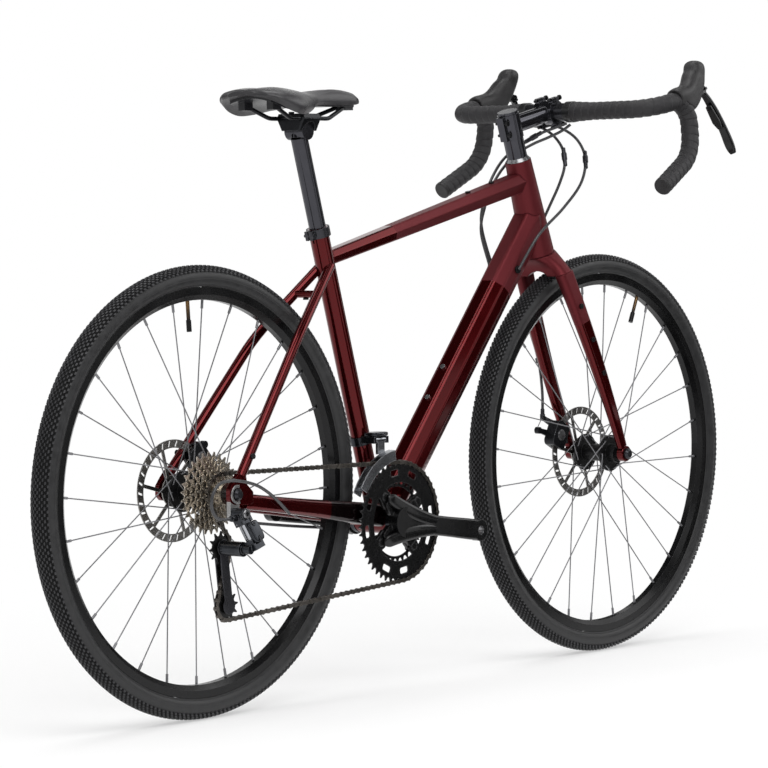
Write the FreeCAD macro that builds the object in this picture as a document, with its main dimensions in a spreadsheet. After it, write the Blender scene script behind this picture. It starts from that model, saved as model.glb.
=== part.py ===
"""Gravel bike: welded frame, disc brakes, flared drop bar and a double chainset with eight sprockets.

All lengths are in millimetres. +X points forward, +Y to the rider's left and +Z up, and the origin lies on
the ground midway between the two axles.
"""
import FreeCAD, Part
import math
import os
import Sketcher
from FreeCAD import Placement, Rotation, Vector

SIZES = {
    # Layout
    "wheelbase": 1028, "chainstay_length": 430, "bracket_drop": 75, "reach": 383, "stack": 590,
    "seat_angle": 73.8, "head_angle": 71.5, "seat_tube_length": 500, "head_tube_length": 170,
    # Clearances
    "running_gap": 0.5, "pin_gap": 0.06, "seat_gap": 0.05,
    # Head tube and its bearings
    "head_top_diameter": 45, "head_base_diameter": 57, "head_bore_top": 35, "head_bore_base": 45,
    "upper_bearing_diameter": 41, "lower_bearing_diameter": 51, "bearing_depth": 8,
    # Top tube and down tube
    "tube_wall": 1.8, "top_tube_seat_drop": 53, "top_tube_head_drop": 37, "top_tube_rear_width": 29,
    "top_tube_rear_height": 23, "top_tube_front_width": 40, "top_tube_front_height": 33, "top_tube_corner": 4,
    "down_tube_head_drop": 106, "down_tube_lead": 8, "down_tube_width": 52, "down_tube_height": 56,
    "down_tube_foot_height": 42, "down_tube_foot_run": 70, "down_tube_corner": 9,
    # Seat tube, its clamp and the bottom bracket shell
    "seat_tube_diameter": 31.8, "seat_slot_width": 3, "seat_slot_length": 22, "clamp_diameter": 38,
    "clamp_height": 15, "clamp_ear_length": 12, "clamp_ear_width": 15, "shell_diameter": 42,
    "shell_width": 68,
    "shell_bore": 36,
    # Stays and dropouts
    "chainstay_end_width": 15, "chainstay_end_height": 25, "chainstay_mid_width": 17,
    "chainstay_mid_height": 33,
    "chainstay_root_width": 16, "chainstay_root_height": 36, "chainstay_end_run": 30,
    "chainstay_end_spread": 66,
    "chainstay_dent_run": 88, "chainstay_dent_spread": 65.5,
    "chainstay_mid_run": 289, "chainstay_mid_spread": 37, "chainstay_waist_run": 356,
    "chainstay_waist_spread": 29,
    "chainstay_root_spread": 24, "chainstay_root_rise": 8, "chainstay_end_drop": 8, "seatstay_diameter": 16,
    "seatstay_top_drop": 64, "seatstay_top_spread": 10, "seatstay_bend_back": 121.4,
    "seatstay_bend_drop": 112,
    "seatstay_bend_spread": 46, "seatstay_bend_radius": 400, "seatstay_end_back": 6, "seatstay_end_rise": 26,
    "seatstay_end_spread": 75, "bridge_diameter": 12, "bridge_share_run": 67, "rear_spacing": 142,
    "dropout_thickness": 8, "dropout_radius": 15.5, "hanger_reach": 28, "hanger_back": 6, "hanger_radius": 9,
    # Fasteners
    "bolt_head_diameter": 9, "bolt_head_height": 3, "bolt_shank_diameter": 5, "bolt_shank_length": 9,
    "bottle_bolt_spacing": 64, "seat_bottle_height": 184, "down_bottle_run": 230, "top_bolt_run": 84,
    "top_bolt_spacing": 66, "rack_bolt_rise": 38, "fork_boss_spacing": 65, "fork_boss_drop": 64,
    "port_diameter": 13, "port_height": 3, "port_run": 112,
    # Fork
    "steerer_diameter": 28.6, "steerer_bore": 24, "steerer_base_diameter": 39, "steerer_flare_length": 34,
    "crown_height": 36, "crown_depth": 38, "crown_waist_width": 84, "arch_width": 62, "arch_drop": 27,
    "blade_top_spread": 43, "blade_top_width": 22, "blade_top_depth": 37, "blade_mid_spread": 56,
    "blade_mid_width": 17, "blade_mid_depth": 29, "blade_end_spread": 57.5, "blade_end_width": 14,
    "blade_end_depth": 19, "crown_lead": 5, "fork_spacing": 100, "fork_tip_diameter": 27,
    "fork_tip_thickness": 14,
    # Axles
    "axle_diameter": 12, "axle_sleeve_diameter": 17, "axle_head_diameter": 19, "axle_head_height": 7,
    # Headset stack and stem
    "cover_height": 6, "cover_diameter": 43, "spacer_diameter": 35, "spacer_height": 35,
    "stem_clamp_height": 42,
    "stem_clamp_diameter": 38, "stem_length": 110, "stem_angle": 6, "stem_body_diameter": 31,
    "bar_clamp_width": 38, "bar_clamp_wall": 5, "top_cap_height": 5, "faceplate_gap": 2, "stem_ear": 7,
    "stem_bolt_diameter": 5, "stem_bolt_head": 9,
    # Handlebar
    "bar_clamp_diameter": 31.8, "bar_diameter": 23.8, "bar_bulge_width": 120, "bar_taper_length": 35,
    "bar_half_width": 218, "bar_rise": 1, "bar_forward": 4, "bar_reach": 107, "bar_ramp_rise": 22,
    "bar_hook_drop": 100, "bar_hook_back": 5, "bar_hook_flare": 11, "bar_end_back": 99, "bar_end_drop": 53,
    "bar_end_flare": 11, "bar_corner_radius": 50, "bar_front_radius": 38, "bar_hook_radius": 65,
    # Tape
    "tape_start": 42, "tape_thickness": 2.6, "tape_step": 0.9, "tape_wrap": 14.5, "tape_edge": 0.6,
    "plug_length": 5,
    # Hoods, levers and paddles
    "hood_width": 34, "hood_length": 82, "hood_height": 66, "lever_length": 112, "lever_width": 17,
    "lever_thickness": 7, "lever_slot": 19, "lever_pin_diameter": 5, "lever_pin_length": 30, "lever_lead": 52,
    "lever_rise": 12, "lever_flare": 30, "lever_barrel_diameter": 15, "paddle_length": 46, "paddle_width": 15,
    "paddle_thickness": 3, "paddle_gap": 2.5, "paddle_drop": 17, "paddle_pin": 4, "paddle_head": 7,
    "paddle_head_height": 1.5,
    # Seatpost and saddle
    "post_diameter": 27.2, "post_length": 350, "post_exposed": 149, "post_wall": 2.2,
    "post_head_diameter": 28,
    "post_head_width": 38, "post_head_rise": 10, "rail_diameter": 7, "rail_spacing": 44, "rail_rise": 20,
    "rail_clamp_length": 44, "rail_clamp_width": 58, "rail_clamp_plate": 7, "saddle_length": 273,
    "saddle_width": 146, "saddle_nose_lead": 139.7, "saddle_top_rise": 48, "saddle_crown": 25,
    "saddle_channel": 2.5,
    "saddle_arch": 24,
    "saddle_shell": 5, "rail_straight": 92, "rail_front_run": 62, "rail_front_spread": 16,
    "rail_front_rise": 22,
    "rail_rear_run": 46, "rail_rear_spread": 60, "rail_rear_rise": 19, "rail_bend_radius": 32,
    "rail_socket": 13,
    # Wheels
    "bead_seat_diameter": 622, "tyre_width": 40, "tyre_height": 40, "tyre_casing": 3, "rim_width": 25,
    "rim_flange_height": 6, "rim_depth": 14, "rim_nose_width": 12, "rim_wall": 2, "rim_well_depth": 5,
    "rim_well_width": 8, "rim_shoulder": 6, "spoke_diameter": 2, "nipple_diameter": 4.2, "nipple_length": 13,
    "spoke_circle": 56, "spoke_lift": 1.7, "spoke_hole": 2.5, "flange_diameter": 64,
    "flange_thickness": 3.2, "hub_waist": 30,
    "hub_neck": 33, "hub_bore": 26, "front_flange_offset": 27, "front_hub_end": 45, "rear_left_flange": 34,
    "rear_right_flange": 13, "rear_hub_left_end": 62, "rear_hub_right_end": 17, "hub_bearing_width": 8,
    "valve_diameter": 6, "valve_length": 30, "valve_cap_diameter": 8, "valve_cap_length": 18,
    "rotor_diameter": 160, "rotor_track": 13, "rotor_thickness": 1.8, "rotor_core": 50, "rotor_arm_width": 6,
    "rotor_slot_length": 9, "rotor_slot_width": 3.4, "front_rotor_offset": 39.5, "rear_rotor_offset": 55.7,
    "lock_nut_thickness": 4, "lock_nut_diameter": 42,
    # Brake calipers
    "caliper_length": 46, "caliper_height": 36, "caliper_inner": 9.5, "caliper_outer": 11,
    "caliper_reach": 74,
    "caliper_corner": 9, "pad_thickness": 3, "pad_gap": 0.6, "adjuster_diameter": 19, "adjuster_height": 1.8,
    "brake_arm_length": 36, "brake_arm_width": 12, "brake_arm_thickness": 4,
    "mount_thickness": 9, "front_caliper_angle": 153, "rear_caliper_angle": 41,
    # Drivetrain
    "chain_pitch": 12.7, "chain_line": 46, "roller_diameter": 7.7, "roller_seat_gap": 0.15,
    "tooth_height": 3.2,
    "tooth_tip": 1.6, "tooth_thickness": 1.8, "link_inner_half": 1.25, "link_plate": 0.9,
    "link_plate_gap": 0.1,
    "link_waist": 7.6, "chain_pin_diameter": 3.6, "sprocket_pitch": 4.8, "freehub_diameter": 34.6,
    "freehub_bore": 26, "sprocket_hub_diameter": 42, "lockring_thickness": 3.5, "pulley_bore": 6,
    # Chainset
    "crank_length": 175, "crank_angle": 8.5, "crank_hub_diameter": 50, "crank_hub_inner": 44.7,
    "crank_hub_outer": 64, "crank_root_width": 52, "crank_waist_width": 34, "crank_tip_diameter": 36,
    "crank_tip_inner": 65, "crank_tip_outer": 79, "crank_thickness": 13, "spindle_diameter": 24,
    "spindle_end": 62, "pedal_hole": 14.2, "ring_spacing": 7, "ring_thickness": 2, "ring_bolt_circle": 110,
    "ring_bolt_diameter": 8, "ring_bolt_head": 13, "ring_bolt_head_height": 2, "spider_arm_width": 26,
    "ring_rim_depth": 33, "small_ring_depth": 8,
    "ring_slot_length": 20, "ring_slot_width": 10, "cup_diameter": 44, "cup_width": 9.5,
    # Front derailleur
    "changer_height": 134, "changer_band": 2.6, "changer_band_height": 14, "changer_pivot_out": 36,
    "changer_pivot_lead": 3, "changer_barrel": 11, "changer_barrel_length": 24, "changer_pin": 5,
    "changer_cage_gap": 2, "changer_cage_height": 12, "changer_plate": 1.4, "changer_inner_gap": 4.6,
    "changer_outer_gap": 6.2, "changer_neck": 5,
    # Rear derailleur
    "guide_drop": 83, "guide_back": 3, "cage_length": 91, "cage_width": 17, "cage_plate": 2,
    "cage_end_diameter": 26, "cage_half_inner": 4.8,
    "link_length": 34, "link_width": 12, "link_thickness": 4, "link_offset": 6, "knuckle_ear": 5,
    "knuckle_depth": 14, "link_pin": 3, "knuckle_neck": 14, "knuckle_barrel": 23, "shift_slope": 20,
    "rear_link_lean": 16,
    "rear_bolt_diameter": 17, "rear_bolt_head": 4, "knuckle_gap": 2.8,
    # Cables
    "housing_diameter": 5, "clip_diameter": 10, "clip_length": 8, "clip_drop": 156, "loop_tail": 4,
}
REAR_COGS = (11, 13, 15, 17, 20, 23, 26, 30)
COG_IN_USE = 2
RING_TEETH = (48, 32)
PULLEY_TEETH = 11
SPOKES = 28
SPOKE_CROSSINGS = 3
ROTOR_ARMS = 6
ROTOR_SLOTS = 30
SPIDER_ANGLES = (42, 138, 222, 318)
REAR_VALVE_ANGLE = -94
FRONT_VALVE_ANGLE = -66
SIDES = {"right": -1, "left": 1}

doc = FreeCAD.newDocument("gravel_bike")
sheet = doc.addObject("Spreadsheet::Sheet", "sizes")
for row, (name, value) in enumerate(SIZES.items(), start=1):
    sheet.set("A%d" % row, name)
    sheet.set("B%d" % row, str(value))
    sheet.setAlias("B%d" % row, name)
doc.recompute()
PARTS = []


def text_of(value):
    """The sheet expression of a size, or a plain number."""
    return value.text if isinstance(value, Size) else repr(float(value))


class Size(float):
    """A length that carries the sheet expression which gives it."""

    def __new__(cls, value, text):
        made = float.__new__(cls, value)
        made.text = text
        return made

    def __add__(self, other):
        return Size(float(self) + other, "(%s + %s)" % (self.text, text_of(other)))

    __radd__ = __add__

    def __sub__(self, other):
        return Size(float(self) - other, "(%s - %s)" % (self.text, text_of(other)))

    def __rsub__(self, other):
        return Size(other - float(self), "(%s - %s)" % (text_of(other), self.text))

    def __mul__(self, other):
        return Size(float(self) * other, "(%s * %s)" % (self.text, text_of(other)))

    __rmul__ = __mul__

    def __truediv__(self, other):
        return Size(float(self) / other, "(%s / %s)" % (self.text, text_of(other)))

    def __neg__(self):
        return Size(-float(self), "(-1 * %s)" % self.text)


class Sizes:
    """Reads the sheet's cells by their aliases."""

    def __getattr__(self, name):
        return Size(getattr(sheet, name), "sizes." + name)


dim = Sizes()
FORWARD = Vector(1, 0, 0)
LEFT = Vector(0, 1, 0)
UP = Vector(0, 0, 1)


def leaning_back(angle):
    """Unit vector in the mid plane that rises backwards at an angle to the ground."""
    turn = math.radians(angle)
    return Vector(-math.cos(turn), 0, math.sin(turn))


def polar(radius, angle):
    """Offset in the bike's mid plane at an angle in degrees from straight ahead, turning upwards."""
    turn = math.radians(angle)
    return Vector(radius * math.cos(turn), 0, radius * math.sin(turn))


# Main points and directions
AXLE_HEIGHT = dim.bead_seat_diameter / 2 + dim.tyre_height
REAR_AXLE = Vector(-dim.wheelbase / 2, 0, AXLE_HEIGHT)
FRONT_AXLE = Vector(dim.wheelbase / 2, 0, AXLE_HEIGHT)
BRACKET = REAR_AXLE + Vector(math.sqrt(dim.chainstay_length ** 2 - dim.bracket_drop ** 2), 0, -dim.bracket_drop)
SEAT_DIR = leaning_back(dim.seat_angle)
SEAT_FORWARD = Vector(SEAT_DIR.z, 0, -SEAT_DIR.x)
HEAD_DIR = leaning_back(dim.head_angle)
HEAD_FORWARD = Vector(HEAD_DIR.z, 0, -HEAD_DIR.x)
HEAD_TOP = BRACKET + Vector(dim.reach, 0, dim.stack)
HEAD_BASE = HEAD_TOP - HEAD_DIR * dim.head_tube_length
STEM_RISE = dim.cover_height + dim.spacer_height + dim.stem_clamp_height / 2
STEM_ROOT = HEAD_TOP + HEAD_DIR * STEM_RISE
STEM_TURN = math.radians(dim.stem_angle)
STEM_DIR = HEAD_FORWARD * math.cos(STEM_TURN) - HEAD_DIR * math.sin(STEM_TURN)
BAR_CENTRE = STEM_ROOT + STEM_DIR * dim.stem_length
POST_TOP = BRACKET + SEAT_DIR * (dim.seat_tube_length + dim.post_exposed)
POST_HEAD = POST_TOP + UP * dim.post_head_rise
RAIL_CENTRE = POST_HEAD + UP * dim.rail_rise


def frame_at(origin, z_axis, x_axis):
    """Placement whose Z follows z_axis and whose X is as near to x_axis as it can be."""
    return Placement(origin, Rotation(x_axis, z_axis.cross(x_axis), z_axis, "ZXY"))


def across(point):
    """Placement at a point with its Z along the axles, towards the rider's left."""
    return frame_at(point, LEFT, FORWARD)


def along_steerer(height):
    """Placement on the steering axis, measured up from the top of the head tube."""
    return frame_at(HEAD_TOP + HEAD_DIR * height, HEAD_DIR, HEAD_FORWARD)


def along_seat(height):
    """Placement on the seat tube's axis, measured up from the bottom bracket."""
    return frame_at(BRACKET + SEAT_DIR * height, SEAT_DIR, SEAT_FORWARD)


# Document objects with bound sizes
def keep(obj, label):
    """Names an object as a sub-part of the bike."""
    obj.Label = label
    PARTS.append(obj)
    return obj


def bind(obj, place, **values):
    """Sets an object's sizes from the sheet, and its placement."""
    for name, value in values.items():
        obj.setExpression(name, text_of(value))
    obj.Placement = place
    return obj


def cylinder(name, radius, length, place):
    return bind(doc.addObject("Part::Cylinder", name), place, Radius=radius, Height=length)


def cone(name, base, top, length, place):
    return bind(doc.addObject("Part::Cone", name), place, Radius1=base, Radius2=top, Height=length)


def torus(name, ring, section, place):
    return bind(doc.addObject("Part::Torus", name), place, Radius1=ring, Radius2=section)


def box(name, length, width, height, place):
    """Box centred on its placement's Z axis, from its placement's plane upwards."""
    shift = Placement(Vector(-length / 2, -width / 2, 0), Rotation())
    made = doc.addObject("Part::Box", name)
    return bind(made, place.multiply(shift), Length=length, Width=width, Height=height)


def cut(name, base, *tools):
    """The base with each tool taken away."""
    for index, tool in enumerate(tools):
        made = doc.addObject("Part::Cut", "%s_%d" % (name, index))
        made.Base = base
        made.Tool = tool
        base = made
    return base


def fuse(name, *items):
    made = doc.addObject("Part::MultiFuse", name)
    made.Shapes = list(items)
    return made


def group(name, *items):
    made = doc.addObject("Part::Compound", name)
    made.Links = list(items)
    return made


def tube(name, outer, inner, length, place):
    return cut(name, cylinder(name + "_outer", outer, length, place),
               cylinder(name + "_bore", inner, length, place))


def feature(label, *solids):
    """A sub-part whose solids are worked out from the sheet's sizes."""
    made = doc.addObject("Part::Feature", label)
    made.Shape = solids[0] if len(solids) == 1 else Part.makeCompound(list(solids))
    made.Placement = Placement()
    return keep(made, label)


# Sketched bodies
def sketch_on(body, role, name):
    sketch = body.newObject("Sketcher::SketchObject", name)
    plane = next(item for item in body.Origin.OriginFeatures if item.Role == role)
    sketch.AttachmentSupport = (plane, [""])
    sketch.MapMode = "FlatFace"
    return sketch


def fix(sketch, kind, item, value, *ends):
    """Adds a dimension bound to the sheet."""
    index = sketch.addConstraint(Sketcher.Constraint(kind, *ends, float(value)))
    label = "%s_%d" % (kind.lower(), index)
    sketch.renameConstraint(index, label)
    sketch.setExpression("Constraints." + label, text_of(value))


def pin(sketch, item, point, x, y):
    """Holds one point of a sketch at bound coordinates."""
    for kind, value, axis in (("DistanceX", x, -2), ("DistanceY", y, -1)):
        if float(value) == 0:
            sketch.addConstraint(Sketcher.Constraint("PointOnObject", item, point, axis))
        else:
            fix(sketch, kind, item, value, -1, 1, item, point)


def polygon(sketch, points):
    """Closed outline with every corner bound."""
    count = len(points)
    first = sketch.GeometryCount
    for index, start in enumerate(points):
        end = points[(index + 1) % count]
        sketch.addGeometry(Part.LineSegment(Vector(*start, 0), Vector(*end, 0)), False)
    for index in range(count):
        following = first + (index + 1) % count
        sketch.addConstraint(Sketcher.Constraint("Coincident", first + index, 2, following, 1))
    for index, corner in enumerate(points):
        pin(sketch, first + index, 1, *corner)


def circle(sketch, radius, x=0, y=0):
    item = sketch.addGeometry(Part.Circle(Vector(x, y, 0), UP, radius), False)
    if float(x) == 0 and float(y) == 0:
        sketch.addConstraint(Sketcher.Constraint("Coincident", item, 3, -1, 1))
    else:
        pin(sketch, item, 3, x, y)
    fix(sketch, "Radius", item, radius, item)


def turned(name, place, *outlines):
    """Body turned about its placement's Z axis from outlines of (radius, height) corners."""
    body = doc.addObject("PartDesign::Body", name)
    sketch = sketch_on(body, "XZ_Plane", name + "_profile")
    for outline in outlines:
        polygon(sketch, outline)
    made = body.newObject("PartDesign::Revolution", name + "_turned")
    made.Profile = sketch
    made.ReferenceAxis = (sketch, ["V_Axis"])
    made.Angle = 360
    body.Placement = place
    doc.recompute()
    return body


def pad(body, sketch, name, length):
    made = body.newObject("PartDesign::Pad", name)
    made.Profile = sketch
    made.setExpression("Length", text_of(length))
    made.Midplane = True
    doc.recompute()
    return made


def repeat(body, original, sketch, name, count):
    """Copies a feature evenly round its sketch's normal."""
    made = body.newObject("PartDesign::PolarPattern", name)
    made.Originals = [original]
    made.Axis = (sketch, ["N_Axis"])
    made.Angle = 360
    made.Occurrences = count
    body.Tip = made
    doc.recompute()
    return made


# Shapes worked out from the sizes
def rod(start, end, radius):
    return Part.makeCylinder(radius, (end - start).Length, start, end - start)


def sleeve(start, end, radius, bore):
    return rod(start, end, radius).cut(rod(start, end, bore))


def biggest(shape):
    return max(shape.Solids, key=lambda solid: solid.Volume)


def mirrored(shape):
    return shape.mirror(Vector(0, 0, 0), LEFT)


def pair(shape):
    """A right-hand solid and its mirror image."""
    return shape, mirrored(shape)


def corner_arc(before, here, after, radius):
    """Start, middle and end of the arc that rounds one corner, kept within its two runs."""
    back = before - here
    ahead = after - here
    half = back.getAngle(ahead) / 2
    reach_share = 0.49
    run = min(radius / math.tan(half), min(back.Length, ahead.Length) * reach_share)
    back.normalize()
    ahead.normalize()
    inward = back + ahead
    inward.normalize()
    fitted = run * math.tan(half)
    middle = here + inward * (fitted / math.sin(half) - fitted)
    return here + back * run, middle, here + ahead * run


def rounded(points, radius):
    """Closed wire through the points with tangent arcs at its corners."""
    count = len(points)
    arcs = [corner_arc(points[i - 1], points[i], points[(i + 1) % count], radius) for i in range(count)]
    edges = []
    for index, (start, middle, end) in enumerate(arcs):
        edges.append(Part.Arc(start, middle, end).toShape())
        edges.append(Part.LineSegment(end, arcs[(index + 1) % count][0]).toShape())
    return Part.Wire(edges)


def bent_wire(points, radii):
    """Open path of straight runs joined by tangent arcs."""
    edges = []
    at = points[0]
    for index in range(1, len(points) - 1):
        start, middle, end = corner_arc(points[index - 1], points[index], points[index + 1], radii[index - 1])
        edges.append(Part.LineSegment(at, start).toShape())
        edges.append(Part.Arc(start, middle, end).toShape())
        at = end
    edges.append(Part.LineSegment(at, points[-1]).toShape())
    return Part.Wire(edges)


def pipe(path, radius):
    """Round bar swept along a path of runs and arcs."""
    first = path.Edges[0]
    start = first.valueAt(first.FirstParameter)
    profile = Part.Wire(Part.makeCircle(radius, start, first.tangentAt(first.FirstParameter)))
    return path.makePipeShell([profile], True, False)


def cord_radii(points):
    """Bend radius at each inner point of a cable: as large as its two runs allow."""
    run_share = 0.45
    radii = []
    for before, here, after in zip(points, points[1:], points[2:]):
        turn = (here - before).getAngle(after - here)
        shorter = min((here - before).Length, (after - here).Length)
        radii.append(run_share * shorter / math.tan(turn / 2))
    return radii


def cable(name, points):
    """One housing along its route, with its bend radii printed."""
    radii = cord_radii(points)
    path = bent_wire(points, radii)
    solid = pipe(path, dim.housing_diameter / 2)
    section = math.pi * (dim.housing_diameter / 2) ** 2
    share = solid.Volume / (section * path.Length)
    print("%s: length %.0f, least radius %.1f, volume share %.4f" % (name, path.Length, min(radii), share))
    return solid


def outline(shares, place, width, height, radius):
    """Rounded outline whose corners are shares of a width and a height, square to a placement's Z."""
    points = [place.multVec(Vector(x * width, y * height, 0)) for x, y in shares]
    return rounded(points, radius)


def rectangle(place, width, height, radius):
    square_shares = ((-0.5, -0.5), (0.5, -0.5), (0.5, 0.5), (-0.5, 0.5))
    return outline(square_shares, place, width, height, radius)


def plate(points, start, end, radius):
    """Flat plate between two distances to the left, from corners in the mid plane."""
    raised = [Vector(point.x, start, point.z) for point in points]
    face = Part.Face(rounded(raised, radius))
    return face.extrude(LEFT * (end - start))


def bolt(seat, axis, head=None):
    """Button-headed bolt that rests on its seat; axis points out of the head."""
    radius = (head or dim.bolt_head_diameter) / 2
    shank = rod(seat - axis * dim.bolt_shank_length, seat, dim.bolt_shank_diameter / 2)
    return rod(seat, seat + axis * dim.bolt_head_height, radius).fuse(shank).removeSplitter()


def shank_hole(seat, axis):
    """The hole that a bolt's shank needs."""
    return rod(seat - axis * (dim.bolt_shank_length + dim.running_gap), seat + axis * dim.running_gap,
               dim.bolt_shank_diameter / 2 + dim.pin_gap)


def drilled(shape, holes):
    for seat, axis in holes:
        shape = shape.cut(shank_hole(seat, axis))
    return biggest(shape)


# Frame
def head_envelope():
    return Part.makeCone(dim.head_base_diameter / 2, dim.head_top_diameter / 2, dim.head_tube_length,
                         HEAD_BASE, HEAD_DIR)


def seat_envelope():
    return Part.makeCylinder(dim.seat_tube_diameter / 2, dim.seat_tube_length, BRACKET, SEAT_DIR)


def shell_envelope():
    half = LEFT * (dim.shell_width / 2)
    return rod(BRACKET - half, BRACKET + half, dim.shell_diameter / 2)


def head_tube():
    """Tapered head tube with a bearing seat at each end."""
    length = dim.head_tube_length
    top, base = dim.head_bore_top / 2, dim.head_bore_base / 2
    upper, lower = dim.upper_bearing_diameter / 2, dim.lower_bearing_diameter / 2
    profile = [(lower, Size(0, "0")), (dim.head_base_diameter / 2, 0), (dim.head_top_diameter / 2, length),
               (upper, length), (upper, length - dim.bearing_depth), (top, length - dim.bearing_depth),
               (base, dim.bearing_depth), (lower, dim.bearing_depth)]
    keep(turned("head_tube", along_steerer(-dim.head_tube_length), profile), "head_tube")


def frame_bearings():
    """Two headset bearings and two bottom bracket cups."""
    steerer = dim.steerer_diameter / 2 + dim.pin_gap
    base = dim.steerer_base_diameter / 2 + dim.pin_gap
    upper = tube("upper_bearing", dim.upper_bearing_diameter / 2, steerer, dim.bearing_depth,
                 along_steerer(-dim.bearing_depth))
    lower = tube("lower_bearing", dim.lower_bearing_diameter / 2, base, dim.bearing_depth,
                 along_steerer(-dim.head_tube_length))
    spindle = dim.spindle_diameter / 2 + dim.pin_gap
    cups = []
    for side, sign in SIDES.items():
        start = dim.shell_width / 2 if sign > 0 else -dim.shell_width / 2 - dim.cup_width
        cups.append(tube(side + "_cup", dim.cup_diameter / 2, spindle, dim.cup_width,
                         across(BRACKET + LEFT * start)))
    keep(group("bearings", upper, lower, *cups), "frame_bearings")


def top_tube_axis():
    rear = BRACKET + SEAT_DIR * (dim.seat_tube_length - dim.top_tube_seat_drop)
    front = HEAD_TOP - HEAD_DIR * dim.top_tube_head_drop
    return rear, front


def hollow_tube(stations, shares, radius, trims):
    """Thin-walled tube lofted through (point, direction, width, height) stations and trimmed by neighbours."""
    solids = []
    for wall in (0, dim.tube_wall):
        wires = [outline(shares, frame_at(point, direction, LEFT), width - 2 * wall, height - 2 * wall,
                         radius - wall) for point, direction, width, height in stations]
        solids.append(Part.makeLoft(wires, True, True))
    shape = solids[0].cut(solids[1])
    for trim in trims:
        shape = shape.cut(trim)
    return biggest(shape)


def top_bolts():
    """Seats of the two bolts on the top tube."""
    rear, front = top_tube_axis()
    run = front - rear
    run.normalize()
    lift = run.cross(LEFT)
    seats = []
    for step in range(2):
        distance = dim.top_bolt_run + step * dim.top_bolt_spacing
        share = distance / (front - rear).Length
        height = dim.top_tube_front_height * (1 - share) + dim.top_tube_rear_height * share
        seats.append((front - run * distance + lift * (height / 2 + dim.seat_gap), lift))
    return seats


def top_tube():
    rear, front = top_tube_axis()
    run = front - rear
    run.normalize()
    ridge_shares = ((-0.5, 0.04), (-0.31, -0.5), (0.31, -0.5), (0.5, 0.04), (0.33, 0.5), (-0.33, 0.5))
    stations = [(rear, run, dim.top_tube_rear_width, dim.top_tube_rear_height),
                (front, run, dim.top_tube_front_width, dim.top_tube_front_height)]
    made = hollow_tube(stations, ridge_shares, dim.top_tube_corner, (seat_envelope(), head_envelope()))
    feature("top_tube", drilled(made, top_bolts()))


def down_tube_axis():
    """Start, end and direction of the down tube."""
    front = HEAD_TOP - HEAD_DIR * dim.down_tube_head_drop
    rear = BRACKET + FORWARD * dim.down_tube_lead
    run = front - rear
    run.normalize()
    return rear, front, run


def down_bolts():
    """Seats of the bottle bolts on the upper face of the down tube."""
    rear, front, run = down_tube_axis()
    lift = run.cross(LEFT)
    return [(rear + run * (dim.down_bottle_run + step * dim.bottle_bolt_spacing) + lift * (dim.down_tube_height / 2),
             lift) for step in range(2)]


def down_tube():
    rear, front, run = down_tube_axis()
    facet_shares = ((-0.5, -0.14), (-0.28, -0.5), (0.28, -0.5), (0.5, -0.14), (0.5, 0.2), (0.27, 0.5),
                    (-0.27, 0.5), (-0.5, 0.2))
    foot = rear + run * dim.down_tube_foot_run
    stations = [(rear, run, dim.down_tube_width, dim.down_tube_foot_height),
                (foot, run, dim.down_tube_width, dim.down_tube_height),
                (front, run, dim.down_tube_width, dim.down_tube_height)]
    trims = (shell_envelope(), seat_envelope(), head_envelope())
    feature("down_tube", drilled(hollow_tube(stations, facet_shares, dim.down_tube_corner, trims), down_bolts()))


def seat_bolts():
    """Seats of the bottle bolts on the front of the seat tube."""
    radius = dim.seat_tube_diameter / 2
    return [(BRACKET + SEAT_DIR * (dim.seat_bottle_height + step * dim.bottle_bolt_spacing) + SEAT_FORWARD * radius,
             SEAT_FORWARD) for step in range(2)]


def seat_tube():
    """Straight seat tube, slotted behind its top and drilled for two bottle bolts."""
    bore = dim.post_diameter / 2 + dim.seat_gap
    made = tube("seat_tube_wall", dim.seat_tube_diameter / 2, bore, dim.seat_tube_length, along_seat(0))
    shell = cylinder("shell_trim", dim.shell_diameter / 2, dim.shell_width,
                     across(BRACKET - LEFT * (dim.shell_width / 2)))
    slot_place = along_seat(dim.seat_tube_length - dim.seat_slot_length)
    slot_place.Base = slot_place.Base - SEAT_FORWARD * (dim.seat_tube_diameter / 2)
    slot = box("seat_slot", dim.seat_tube_diameter / 2, dim.seat_slot_width, dim.seat_slot_length, slot_place)
    holes = []
    for index, (seat, axis) in enumerate(seat_bolts()):
        start = seat - axis * dim.bolt_shank_length
        holes.append(cylinder("bottle_hole_%d" % index, dim.bolt_shank_diameter / 2 + dim.pin_gap,
                              dim.bolt_shank_length + dim.running_gap, frame_at(start, axis, SEAT_DIR)))
    keep(cut("seat_tube_cut", made, shell, slot, *holes), "seat_tube")


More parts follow.
